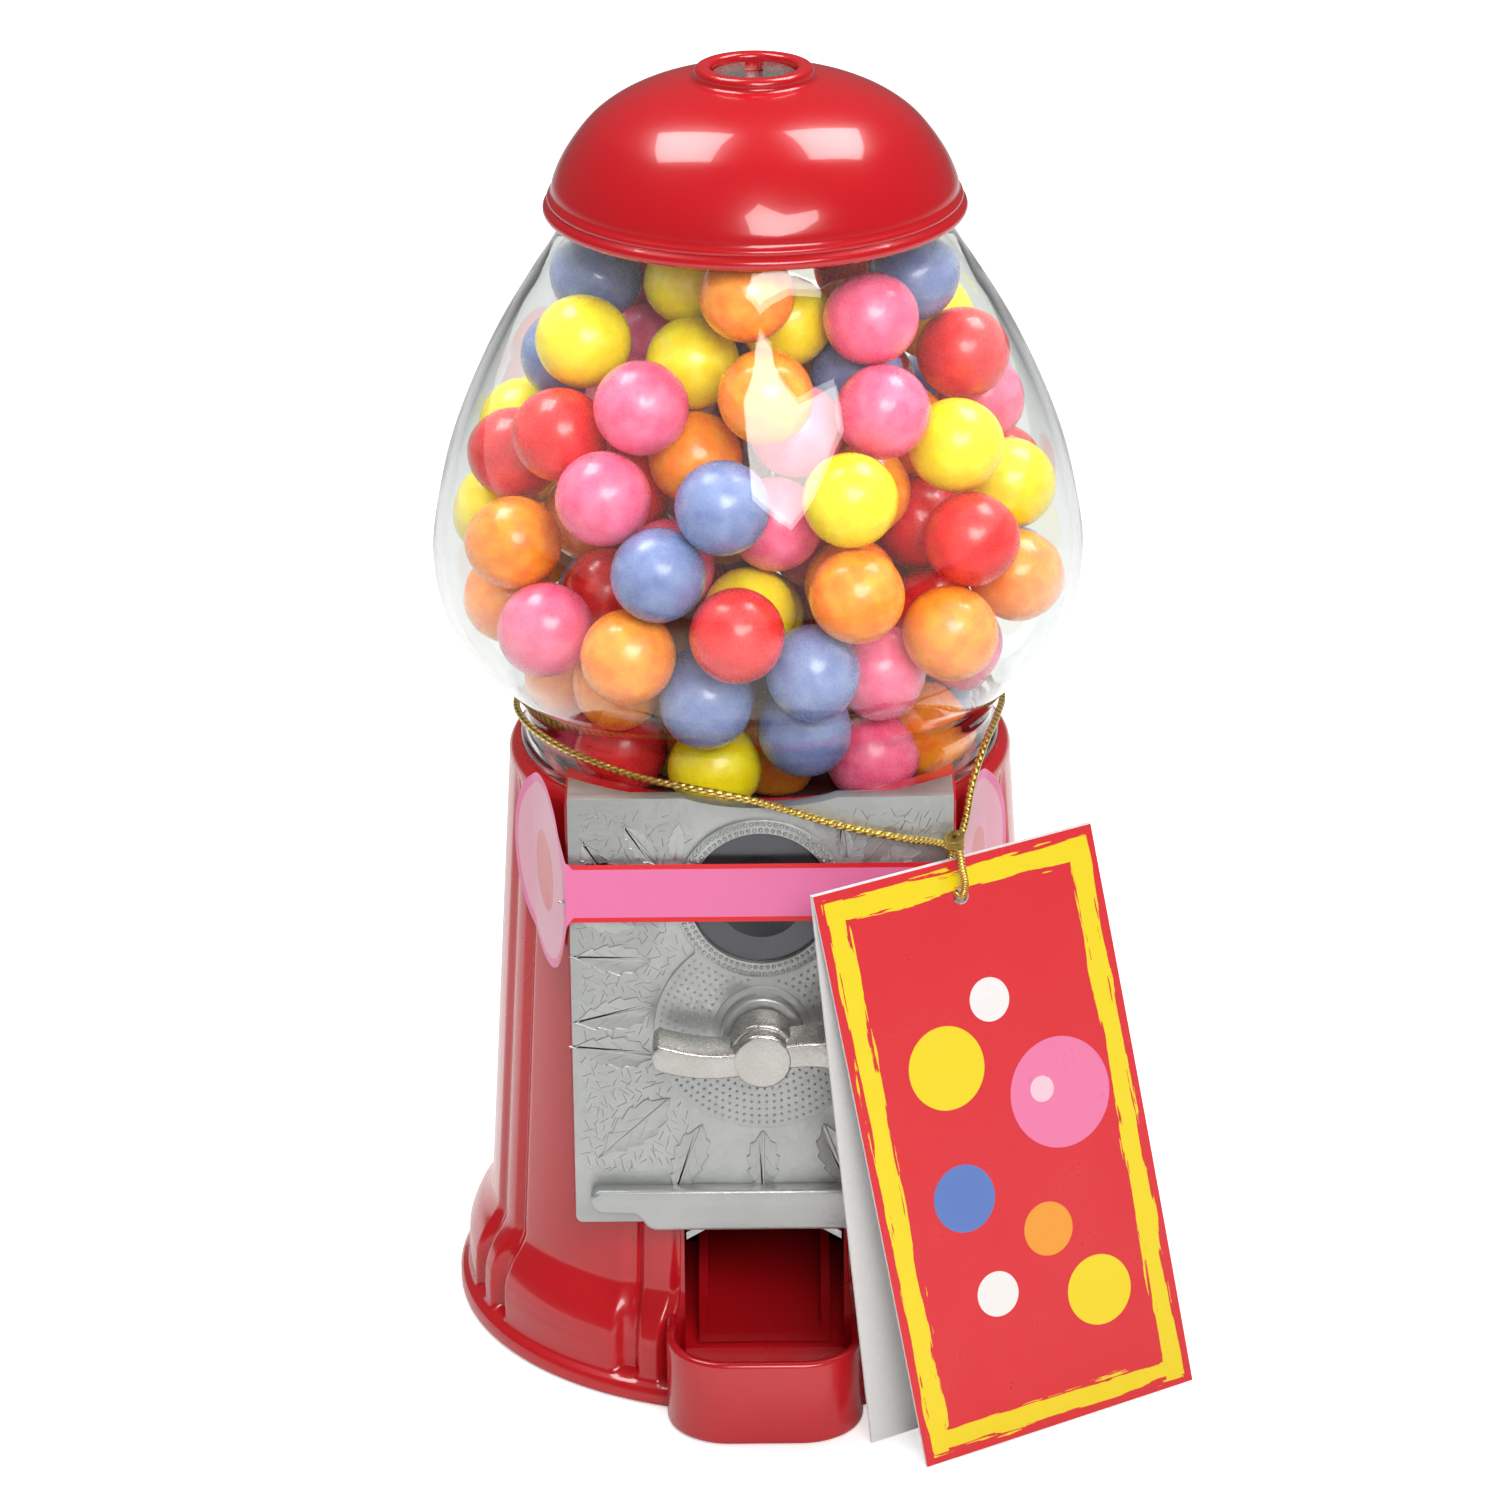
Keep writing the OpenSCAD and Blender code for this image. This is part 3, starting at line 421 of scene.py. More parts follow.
base_mesh = base_casting.data
for vertex in base_mesh.vertices:
    x, y, z = (v / mm for v in vertex.co)
    radius = math.hypot(x, y)
    outer_here = foot_radius - 7 + (20 - z) * 0.2
    if z > 20:
        outer_here = wall_low + (wall_top - wall_low) * (z - 22) / 83 - 1.2
    if 3.7 < z < 104.9 and radius > max(outer_here, neck_socket + 1):
        rise = level(3.7, 4.4, z) * (1 - level(100.5, 104.8, z))
        back = flute(math.atan2(x, -y), z) * rise
        scale = (radius - back) / radius
        vertex.co.x *= scale
        vertex.co.y *= scale


def block(name, low, high):
    """A box between two corners, in mm."""
    clear_selection()
    middle = [(a + b) / 2 * mm for a, b in zip(low, high)]
    bpy.ops.mesh.primitive_cube_add(size=1, location=middle)
    piece = named(name)
    piece.scale = [(b - a) * mm for a, b in zip(low, high)]
    return settle(piece)


def rod(name, radius, start, end, sides=64):
    """A round bar between two points, in mm."""
    clear_selection()
    a, b = Vector(start) * mm, Vector(end) * mm
    long = (b - a).length
    bpy.ops.mesh.primitive_cylinder_add(vertices=sides, radius=radius * mm, depth=long, location=(a + b) / 2)
    piece = named(name)
    piece.rotation_mode = "QUATERNION"
    piece.rotation_quaternion = (b - a).to_track_quat("Z", "Y")
    return settle(piece)


def sheet_shape(name, points, depth, to_world):
    """A flat outline in mm made solid: extruded by depth, then placed by to_world(x, y, z)."""
    piece = single_point(name)
    at = Vector((0, 0, 0))
    for i, (x, y) in enumerate(points):
        new = Vector((x * mm, y * mm, 0))
        if i == 0:
            bpy.ops.transform.translate(value=new)
        else:
            bpy.ops.mesh.extrude_region_move(TRANSFORM_OT_translate={"value": new - at})
        at = new
    bpy.ops.mesh.select_all(action="SELECT")
    bpy.ops.mesh.edge_face_add()
    bpy.ops.mesh.select_all(action="SELECT")
    bpy.ops.mesh.extrude_region_move(TRANSFORM_OT_translate={"value": (0, 0, depth * mm)})
    bpy.ops.mesh.select_all(action="SELECT")
    bpy.ops.mesh.normals_make_consistent(inside=False)
    bpy.ops.object.mode_set(mode="OBJECT")
    for vertex in piece.data.vertices:
        vertex.co = Vector(to_world(*(vertex.co / mm))) * mm
    return face_outward(piece)


def cut(piece, cutters, operation="DIFFERENCE"):
    """Takes each cutter away from a piece, and then removes the cutter."""
    for cutter in cutters:
        take(piece)
        modifier = piece.modifiers.new("cut", "BOOLEAN")
        modifier.operation = operation
        modifier.solver = "EXACT"
        modifier.object = cutter
        bpy.ops.object.modifier_apply(modifier="cut")
        bpy.data.objects.remove(cutter)
    return piece


def soften(piece, width, segments=3, angle=40):
    """Rounds the sharp edges of a piece."""
    take(piece)
    modifier = piece.modifiers.new("soften", "BEVEL")
    modifier.width = width * mm
    modifier.segments = segments
    modifier.limit_method = "ANGLE"
    modifier.angle_limit = math.radians(angle)
    modifier.harden_normals = False
    bpy.ops.object.modifier_apply(modifier="soften")
    return smooth_faces(piece, 40)


def upright(x, y, z):
    return (x, y, z)


tray_half = 17.2
tray_front = 66.9
tray_rim = 15.8
tray_corner = 11


def tray_points(inset, back):
    half = tray_half - inset
    radius = tray_corner - inset
    front = -(tray_front - inset)
    left = rounded(-half + radius, front + radius, radius, 180, 270, 12)
    right = rounded(half - radius, front + radius, radius, 270, 360, 12)
    return left + right + [(half, back), (-half, back)]


mouth = block("mouth", (-14, -60, 4), (14, -34.5, 42))
plate_room = block("plate_room", (-33.1, -70, 34.4), (33.1, -46, 125))
wall_room = block("wall_room", (-26.3, -60, 40.7), (26.3, -29, 104.5))
cut(base_casting, [mouth, plate_room, wall_room])
smooth_faces(base_casting, 42)
dress(base_casting, red_paint)

plate_block = block("plate_block", (-33.3, -46, 35.7), (33.3, -20, 112.7))
cut(
    plate_block,
    [
        rod("inside_wall", 44.2, (0, 0, 20), (0, 0, 130), 128),
        block("inside_block", (-31.1, -43.8, 37.9), (31.1, 5, 104)),
        block("flange_opening", (-26.3, -60, 40.7), (26.3, -29, 101.7)),
        block("mouth_room", (-14, -60, 4), (14, -34.5, 42)),
    ],
)
soften(plate_block, 0.8)
dress(plate_block, red_paint)

tray_cup = sheet_shape("tray_cup", tray_points(0, -44), tray_rim, upright)
cut(tray_cup, [sheet_shape("cup_room", tray_points(2, -36), 30, lambda x, y, z: (x, y, z + 4))])
soften(tray_cup, 0.85, 4, 50)
dress(tray_cup, red_paint)

# floor and cheeks behind the tray, under the end of the chute
mouth_floor = sheet_shape(
    "mouth_floor",
    [(-46.5, 2.4), (-46.5, 4.1), (-43.4, 6.5), (-20, 15.9), (-20, 14.2), (-42, 5.3), (-42, 2.4)],
    32,
    lambda x, y, z: (z - 16, x, y),
)
mouth_left = block("mouth_left", (-15.8, -43, 5), (-14.1, -20, 34))
mouth_right = block("mouth_right", (14.1, -43, 5), (15.8, -20, 34))
for lining in (mouth_floor, mouth_left, mouth_right):
    dress(lining, red_paint)

base = unite("red_base", [base_casting, plate_block, tray_cup, mouth_floor, mouth_left, mouth_right])
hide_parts("base_housing")
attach(base, "frame")

# ---- Chute -----------------------------------------------------------------------------------
# The sloping channel that brings the gumball to the tray, moulded in red plastic.

red_plastic = material("red_plastic", (0.42, 0.004, 0.008), 0.35)
add_wear(red_plastic, 30, 700, None, (0.28, 0.42), (0.00004, 0.4), "Slow")
dress(nodes["chute"], red_plastic)

# ---- Front plate -----------------------------------------------------------------------------
# One zinc die-casting. Pointed leaves stand round a stippled disc over a ground of short strokes,
# a ring of two rows of beads goes round the coin window, and a rounded lip ends it over the tray.

cast_zinc = material("cast_zinc", (0.48, 0.5, 0.49), 0.4, metal=0.72)
add_wear(cast_zinc, 90, 1500, ((0.4, 0.42, 0.41), (0.56, 0.58, 0.57)), (0.34, 0.5), (0.00012, 0.5))

plate_half = 32.75
plate_low = 34.7
plate_high = 114.7
shaft_height = 71.5
window_height = 96.3
window_radius = 12
disc_radius = 18.6


def facing(y):
    """Places a flat outline drawn in x and z so that its back lies at y and it stands out to the front."""
    return lambda x, z, out: (x, -y - out, z)


dip = [
    (13 - 26 * i / 16, plate_high - 1.9 * (1 - ((13 - 26 * i / 16) / 13) ** 2) ** 0.9) for i in range(17)
]
plate_outline = (
    rounded(plate_half - 1.2, plate_low + 1.2, 1.2, 270, 360, 5)
    + [(plate_half, plate_high)]
    + dip
    + [(-plate_half, plate_high)]
    + rounded(-plate_half + 1.2, plate_low + 1.2, 1.2, 180, 270, 5)
)
plate_body = sheet_shape("plate_body", plate_outline, 3, facing(46))
cut(
    plate_body,
    [
        rod("window_hole", window_radius, (0, -60, window_height), (0, -40, window_height), 96),
        rod("shaft_hole", 4.5, (0, -60, shaft_height), (0, -40, shaft_height), 48),
    ],
)
soften(plate_body, 0.35, 2, 50)

top_ledge = block("top_ledge", (-plate_half, -48.9, 110.4), (plate_half, -39.1, plate_high - 0.02))
cut(
    top_ledge,
    [
        rod("ledge_back", 51, (0, 0, 100), (0, 0, 130), 192),
        rod("ledge_dip", 45.2, (0, -60, plate_high - 1.95 + 45.2), (0, -30, plate_high - 1.95 + 45.2), 256),
    ],
)
soften(top_ledge, 0.25, 2, 50)


def ring(name, inner, outer, back, front, height, sides=96, rounding=0.25):
    made = rod(name, outer, (0, -back, height), (0, -front, height), sides)
    cut(made, [rod("hole", inner, (0, -back + 1, height), (0, -front - 1, height), sides)])
    return soften(made, rounding, 2, 50)


window_ring = ring("window_ring", window_radius, window_radius + 2.7, 48.5, 49.75, window_height, 128, 0.35)
boss = rod("boss", 7.2, (0, -48.5, shaft_height), (0, -51.9, shaft_height), 96)
cut(boss, [rod("boss_hole", 4.4, (0, -40, shaft_height), (0, -60, shaft_height), 48)])
soften(boss, 0.7, 4, 50)
boss_foot = ring("boss_foot", 4.4, 8.6, 48.5, 49.8, shaft_height, 96, 0.5)

# keyhole field: a disc, and a column from it up to the window
field_points = rounded(0, shaft_height, disc_radius, 128, 412, 80)
field_points += [(11.45, window_height - 2), (-11.45, window_height - 2)]
field = sheet_shape("field", field_points, 0.9, facing(48.6))
cut(
    field,
    [
        rod("field_window", window_radius + 1, (0, -60, window_height), (0, -40, window_height), 96),
        rod("field_shaft", 5, (0, -60, shaft_height), (0, -40, shaft_height), 48),
    ],
)
soften(field, 0.3, 2, 50)


def gather(name, shapes):
    """One mesh from many small shapes, each a list of points and a list of faces."""
    points, faces = [], []
    for new_points, new_faces in shapes:
        faces += [tuple(len(points) + i for i in face) for face in new_faces]
        points += new_points
    mesh = bpy.data.meshes.new(name)
    mesh.from_pydata(points, [], faces)
    mesh.update()
    piece = bpy.data.objects.new(name, mesh)
    bpy.context.scene.collection.objects.link(piece)
    return face_outward(piece)


def bead(at, radius, height):
    """A low round bump of a few faces."""
    made = []
    for row, (share, rise) in enumerate(((1, 0), (0.8, 0.6), (0.4, 0.95))):
        for k in range(8):
            a = math.pi / 4 * (k + 0.5 * row)
            far = radius * share
            made.append((at[0] + far * math.cos(a), at[1] - height * rise, at[2] + far * math.sin(a)))
    made.append((at[0], at[1] - height, at[2]))
    faces = []
    for row in range(2):
        for k in range(8):
            a, b = row * 8 + k, row * 8 + (k + 1) % 8
            faces.append((a, b, b + 8))
            faces.append((a, b + 8, a + 8))
    for k in range(8):
        faces.append((16 + k, 16 + (k + 1) % 8, 24))
    return [tuple(v * mm for v in p) for p in made], faces


def bumps(name, places):
    """Many small bumps in one mesh: places are (x, z, radius, height, front)."""
    beads = [bead((x, -front, z), radius, height) for x, z, radius, height, front in places]
    return smooth_faces(gather(name, beads), 80)


stipple = []
for row in range(1, 8):
    radius = 8.6 + 1.28 * row
    count = int(2 * math.pi * radius / 1.3)
    for k in range(count):
        a = 2 * math.pi * (k + 0.5 * (row % 2)) / count
        x, z = radius * math.cos(a), shaft_height + radius * math.sin(a)
        if math.hypot(x, z - window_height) > 15.3:
            stipple.append((x, z, 0.3, 0.26, 49.45))
for row in range(9):
    z = shaft_height + 11 + 1.25 * row
    for k in range(-8, 9):
        x = 1.3 * (k + 0.5 * (row % 2))
        outside_disc = math.hypot(x, z - shaft_height) > disc_radius - 0.4
        if abs(x) < 10.8 and math.hypot(x, z - window_height) > 15.2 and outside_disc:
            stipple.append((x, z, 0.3, 0.26, 49.45))
for row, count in ((12.75, 76), (13.95, 84)):
    for k in range(count):
        a = 2 * math.pi * (k + 0.5 * (row > 13)) / count
        stipple.append((row * math.cos(a), window_height + row * math.sin(a), 0.42, 0.4, 49.7))
plate_bumps = bumps("plate_bumps", stipple)

# leaves: a pointed outline with teeth, a raised rim and a rib down the middle
left_leaves = [
    (-24.6, 96, 118, 13), (-21.5, 91, 160, 14), (-19, 84.5, 176, 14), (-18.3, 76, 192, 15),
    (-18.6, 66.5, 172, 15), (-16, 58.5, 222, 17), (-10.5, 53.4, 250, 15), (-17.5, 102.5, 128, 10),
    (-14.6, 103.2, 84, 7.4), (-23, 101, 172, 9),
]
leaf_places = (
    left_leaves
    + [(0, 52.2, 270, 14)]
    + [(-x, z, 180 - turn, length) for x, z, turn, length in left_leaves]
)


def leaf_half(t):
    """Half the width of a leaf at a share t of its length, with three teeth."""
    body = math.sin(math.pi * min(1, t * 0.93 + 0.05)) * (0.235 - 0.11 * t)
    teeth = 0.05 * (1 - (t * 5.5) % 1) if 0.18 < t < 0.9 else 0
    return max(0.0, body + teeth - 0.025)


def leaf(index, x, z, turn, length):
    shares = [i / 33 for i in range(34)]
    side = [(t * length, leaf_half(t) * length) for t in shares]
    outline = [(0, 0)] + side[1:-1] + [(length, 0)] + [(u, -v) for u, v in reversed(side[1:-1])]
    a = math.radians(turn)

    def placed(front):
        return lambda u, v, out: (
            x + u * math.cos(a) - v * math.sin(a),
            -front - out,
            z + u * math.sin(a) + v * math.cos(a),
        )

    body = sheet_shape(f"leaf_{index}", outline, 0.38, placed(48.85))
    take(body)
    bpy.ops.object.mode_set(mode="EDIT")
    bpy.ops.mesh.select_mode(type="FACE")
    bpy.ops.mesh.select_all(action="DESELECT")
    bpy.ops.object.mode_set(mode="OBJECT")
    front = max(body.data.polygons, key=lambda f: f.area if f.normal.y < -0.9 else 0)
    front.select = True
    bpy.ops.object.mode_set(mode="EDIT")
    bpy.ops.mesh.inset(thickness=0.24 * mm, depth=-0.13 * mm)
    bpy.ops.object.mode_set(mode="OBJECT")
    rib = sheet_shape(
        f"rib_{index}",
        [(0.3, -0.3), (length * 0.62, -0.22), (length * 0.93, 0), (length * 0.62, 0.22), (0.3, 0.3)],
        0.45,
        placed(48.85),
    )
    soften(rib, 0.16, 2, 40)
    made = [body, rib]
    for share, spread in ((0.3, 28), (0.52, 30)):
        for s in (-1, 1):
            b = a + math.radians(s * spread)
            reach = leaf_half(share) * length * 1.5
            start = Vector((x + share * length * math.cos(a), z + share * length * math.sin(a)))
            end = start + Vector((math.cos(b), math.sin(b))) * reach
            made.append(stroke_bar(start.x, start.y, end.x, end.y, 0.14, 0.26, 48.9))
    return made


def stroke_bar(x0, z0, x1, z1, half, rise, front):
    """A short ridge with a rounded top between two points of the plate."""
    along = Vector((x1 - x0, z1 - z0))
    across = Vector((-along.y, along.x)).normalized() * half
    a, b = Vector((x0, z0)), Vector((x1, z1))
    tip = along.normalized() * half
    low = [a + across, b + across, b - across, a - across]
    points = [(p.x, -front, p.y) for p in low]
    for p in (a + tip, b - tip):
        points.append((p.x, -front - rise, p.y))
    points += [((a - tip).x, -front, (a - tip).y), ((b + tip).x, -front, (b + tip).y)]
    faces = [(0, 1, 5, 4), (2, 3, 4, 5), (3, 6, 4), (6, 0, 4), (1, 7, 5), (7, 2, 5)]
    return [tuple(v * mm for v in p) for p in points], faces


leaf_parts, bar_shapes = [], []
for index, place in enumerate(leaf_places):
    parts = leaf(index, *place)
    leaf_parts += parts[:2]
    bar_shapes += parts[2:]
leaves = unite("plate_leaves", leaf_parts)
smooth_faces(leaves, 30)

# ground of short strokes, kept off the leaves, the window and the disc
random.seed(11)


def near_leaf(x, z):
    for lx, lz, turn, length in leaf_places:
        a = math.radians(turn)
        u = (x - lx) * math.cos(a) + (z - lz) * math.sin(a)
        v = -(x - lx) * math.sin(a) + (z - lz) * math.cos(a)
        if -0.5 < u < length + 0.4 and abs(v) < leaf_half(min(1, max(0, u / length))) * length + 0.5:
            return True
    return False


stroke_grid = 1.55
for i in range(int(2 * plate_half / stroke_grid)):
    for k in range(int((plate_high - plate_low) / stroke_grid)):
        x = -plate_half + stroke_grid * (i + 0.5) + random.uniform(-0.5, 0.5)
        z = plate_low + stroke_grid * (k + 0.5) + random.uniform(-0.5, 0.5)
        a = math.radians(random.choice((20, 65, 110, 155)) + random.uniform(-14, 14))
        half = random.uniform(0.65, 1.15)
        off_window = math.hypot(x, z - window_height) > 16.2
        off_column = abs(x) >= 12.6 or z >= window_height
        off_disc = math.hypot(x, z - shaft_height) > disc_radius + 1 and off_column
        on_plate = abs(x) < plate_half - 1.7 and 45 < z < plate_high - 2.6 - (2 if abs(x) < 15 else 0)
        if off_window and off_disc and on_plate and not near_leaf(x, z):
            dx, dz = half * math.cos(a), half * math.sin(a)
            bar_shapes.append(stroke_bar(x - dx, z - dz, x + dx, z + dz, 0.13, 0.13, 48.95))


strokes = gather("plate_strokes", bar_shapes)

lip_points = [
    (-30.2, 39.6), (-30, 41.2), (-28.4, 42), (28.4, 42), (30, 41.2), (30.2, 39.6), (29.6, 38.2), (28.2, 37.5),
    (22.4, 37.3), (21, 36), (20.4, 34.9), (19, 34.2), (-19, 34.2), (-20.4, 34.9), (-21, 36), (-22.4, 37.3),
    (-28.2, 37.5), (-29.6, 38.2),
]
plate_lip = sheet_shape("plate_lip", list(reversed(lip_points)), 3.4, facing(48.6))
soften(plate_lip, 1.1, 4, 30)

front_plate = unite(
    "plate_casting",
    [plate_body, top_ledge, window_ring, boss, boss_foot, field, plate_bumps, leaves, strokes, plate_lip],
)
dress(front_plate, cast_zinc)
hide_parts("front_plate")
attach(front_plate, "frame")

# ---- Coin window -----------------------------------------------------------------------------
# A dark dished insert behind the round window, where the coin is laid.

dark_zinc = material("dark_zinc", (0.1, 0.1, 0.11), 0.26, metal=0.7)
add_wear(dark_zinc, 60, 900, None, (0.2, 0.34), (0.00005, 0.3), "Slow")
for node_name in ("coin_window_cup", "coin_wheel"):
    dress(nodes[node_name], dark_zinc)

# ---- Wing handle -----------------------------------------------------------------------------
# A cast wing on a round hub. Its two arms sweep in an S, and the front face is ground flat.

worn_zinc = material("worn_zinc", (0.55, 0.54, 0.51), 0.28, metal=0.9)
add_wear(worn_zinc, 140, 1800, ((0.4, 0.39, 0.36), (0.62, 0.61, 0.58)), (0.2, 0.4), (0.0001, 0.4))

wing_back = 54
wing_depth = 8
wing_half = 18.9


def wing_middle(x):
    return 1.5 * math.sin(2 * math.pi * x / (2 * wing_half)) - 0.052 * x


wing_steps = [(-wing_half + 1.3) + (2 * wing_half - 2.6) * i / 40 for i in range(41)]
wing_width = [2.1 + 0.45 * abs(x / wing_half) for x in wing_steps]
wing_top = [(x, shaft_height + wing_middle(x) + w) for x, w in zip(wing_steps, wing_width)]
wing_low = [(x, shaft_height + wing_middle(x) - w) for x, w in zip(wing_steps, wing_width)]
wing_tip = shaft_height + wing_middle(wing_half - 1.3)
wing_tail = shaft_height + wing_middle(-wing_half + 1.3)
wing_outline = (
    wing_low
    + [(wing_half - 0.35 + 0.3 * (k == 0), wing_tip + 1.7 * k) for k in (-1, 0, 1)]
    + list(reversed(wing_top))
    + [(-wing_half + 0.35 - 0.3 * (k == 0), wing_tail - 1.7 * k) for k in (-1, 0, 1)]
)
wing = sheet_shape("wing", wing_outline, wing_depth, facing(wing_back))
soften(wing, 0.5, 3, 50)
hub = rod("hub", 5, (0, -wing_back, shaft_height), (0, -(wing_back + wing_depth + 0.2), shaft_height), 96)
soften(hub, 0.6, 3, 50)
hub_root = rod("hub_root", 5.65, (0, -52.4, shaft_height), (0, -(wing_back + 5.4), shaft_height), 96)
soften(hub_root, 0.5, 3, 50)
handle = unite("wing_handle", [wing, hub, hub_root])
dress(handle, worn_zinc)
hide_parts("handle")
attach(handle, "turning_shaft")

# ---- Glass globe -----------------------------------------------------------------------------
# A pear-shaped blown globe of pale green glass, with two moulded rings round its neck.

clear_glass = material("clear_glass", (0.97, 1.0, 0.985), 0.0)
glass_shader = shader_of(clear_glass)
glass_shader.inputs["Transmission Weight"].default_value = 1
glass_shader.inputs["IOR"].default_value = 1.45
glass_light = add_node(clear_glass, "ShaderNodeLightPath")
glass_alpha = add_node(clear_glass, "ShaderNodeMath", operation="SUBTRACT")
glass_alpha.inputs[0].default_value = 1
join(clear_glass, glass_light.outputs["Is Shadow Ray"], glass_alpha.inputs[1])
join(clear_glass, glass_alpha.outputs["Value"], glass_shader.inputs["Alpha"])
glass_wear = add_unevenness(clear_glass, 25, 60)
add_bump(clear_glass, glass_wear.outputs["Slow"], 0.0006, 0.08)

globe_seat = 103.4
globe_outline = [
    (42.3, 0), (42.3, 4), (41.1, 9.5), (44.3, 15.5), (50.5, 22.5), (55.4, 30), (57, 39.5),
    (55.8, 49), (53.4, 59), (49.6, 69), (44.8, 79), (39.4, 88), (34.6, 95.5), (32.5, 101),
]
globe_out = bent([(r, z + globe_seat) for r, z in globe_outline], 6)
for height, rise, half in ((5.2, 0.55, 0.7), (1.6, 0.45, 0.6)):
    globe_out = [(r + rise * math.exp(-((z - globe_seat - height) / half) ** 2), z) for r, z in globe_out]
globe_in = [(r, z) for r, z in bent([(r - 2, z + globe_seat) for r, z in globe_outline], 6)]
globe = turned("glass_globe", globe_out + list(reversed(globe_in)), 160)
smooth_faces(globe, 50)
dress(globe, clear_glass)
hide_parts("globe")
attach(globe, "frame")

# ---- Gumballs --------------------------------------------------------------------------------
# Hard sugar shells in five colours, glossy but a little mottled, heaped in the globe as they fell.


def sugar(name, deep, light):
    shell = material(name, light, 0.26, coat=0.35, coat_rough=0.1)
    wear = add_unevenness(shell, 330, 2200)
    speck = add_range(shell, wear.outputs["Slow"], 0, 1, 0.36, 0.66)
    feed(shell, "Base Color", add_mix(shell, speck, deep, light))
    feed(shell, "Roughness", add_range(shell, wear.outputs["Fine"], 0.2, 0.36))
    add_bump(shell, wear.outputs["Slow"], 0.00018, 0.35)
    shader_of(shell).inputs["Subsurface Weight"].default_value = 0.08
    shader_of(shell).inputs["Subsurface Radius"].default_value = (0.002, 0.001, 0.001)
    return shell


gumball_colours = {
    "gumballs_red": ((0.62, 0.012, 0.014), (0.78, 0.03, 0.03)),
    "gumballs_orange": ((0.86, 0.2, 0.006), (0.93, 0.33, 0.02)),
    "gumballs_yellow": ((0.8, 0.62, 0.0), (0.86, 0.74, 0.015)),
    "gumballs_pink": ((0.78, 0.09, 0.2), (0.86, 0.17, 0.3)),
    "gumballs_blue": ((0.13, 0.17, 0.38), (0.2, 0.26, 0.47)),
}
for node_name, (deep, light) in gumball_colours.items():
    dress(nodes[node_name], sugar(node_name.replace("gumballs", "sugar"), deep, light))

# ---- Lid -------------------------------------------------------------------------------------
# A spun and painted dome with a double bead at its rim, and a raised collar round a well for the nut.

lid_seat = 203.1
lid_rim = 36.5
dome_foot = 35.3
lid_outside = (
    [(dome_foot - 1.8, 0.4), (lid_rim - 1.2, 0.4)]
    + rounded(lid_rim - 1.15, 1.5, 1.1, -80, 62, 8)
    + [(dome_foot + 0.35, 2.75)]
    + rounded(dome_foot - 0.35, 3.35, 0.75, -40, 60, 5)
    + bent([(dome_foot - 0.35, 4.6), (dome_foot - 0.7, 6.4), (dome_foot - 2.3, 9.9), (dome_foot - 5, 13.9),
            (dome_foot - 8, 17.1), (dome_foot - 12.3, 20), (dome_foot - 17.8, 22.3), (11, 23.7)], 6)
    + [(10.6, 23.8), (10.35, 24.1)]
    + rounded(9.1, 24.8, 1.15, -20, 90, 6)
    + rounded(8.2, 25.1, 0.8, 90, 180, 4)
    + [(7.4, 20.3), (2.8, 20.3), (2.8, 17.1), (9.4, 17.1), (10, 21.6)]
    + bent([(dome_foot - 19.4, 20.5), (dome_foot - 14, 18.2), (dome_foot - 9.8, 15.3), (dome_foot - 7, 12.5),
            (dome_foot - 4.1, 8.8), (dome_foot - 2.5, 5), (dome_foot - 1.8, 2.4)], 4)
)
lid = turned("red_lid", [(r, z + lid_seat) for r, z in lid_outside], 192)
smooth_faces(lid, 50)
dress(lid, red_paint)
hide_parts("lid")
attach(lid, "lid_body")

# ---- Slotted nut -----------------------------------------------------------------------------
# The pale cast nut in the lid's well, with a wide slot across it for a coin.

nut_low, nut_high = [Vector(v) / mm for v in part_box("lid_nut")]
lid_nut = rod("slotted_nut", 7.1, (0, 0, nut_low.z), (0, 0, nut_high.z), 96)
cut(
    lid_nut,
    [
        block("slot", (-1.5, -9, nut_high.z - 1.7), (1.5, 9, nut_high.z + 2)),
        rod("nut_bore", 2.56, (0, 0, nut_low.z - 1), (0, 0, nut_low.z + 2.4), 48),
    ],
)
soften(lid_nut, 0.35, 3, 50)
dress(lid_nut, worn_zinc)
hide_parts("lid_nut")
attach(lid_nut, "nut_body")

# ---- Paper seal ------------------------------------------------------------------------------
# A printed paper band with red edges, stuck across the front plate over the window. Its ends widen
# into pale translucent ovals on the sides of the base.

seal_paper = material("seal_paper", (0.88, 0.3, 0.5), 0.38)
seal_uv = add_node(seal_paper, "ShaderNodeTexCoord")
seal_split = add_node(seal_paper, "ShaderNodeSeparateXYZ")
join(seal_paper, seal_uv.outputs["UV"], seal_split.inputs["Vector"])
seal_wear = add_unevenness(seal_paper, 60, 900)


def math_node(made, operation, first, second=None):
    node = add_node(made, "ShaderNodeMath", operation=operation)
    for i, value in enumerate((first, second)):
        if value is None:
            continue
        if isinstance(value, (int, float)):
            node.inputs[i].default_value = value
        else:
            join(made, value, node.inputs[i])
    return node.outputs["Value"]


def square_sum(made, first, second):
    return math_node(made, "ADD", math_node(made, "POWER", first, 2.0), math_node(made, "POWER", second, 2.0))


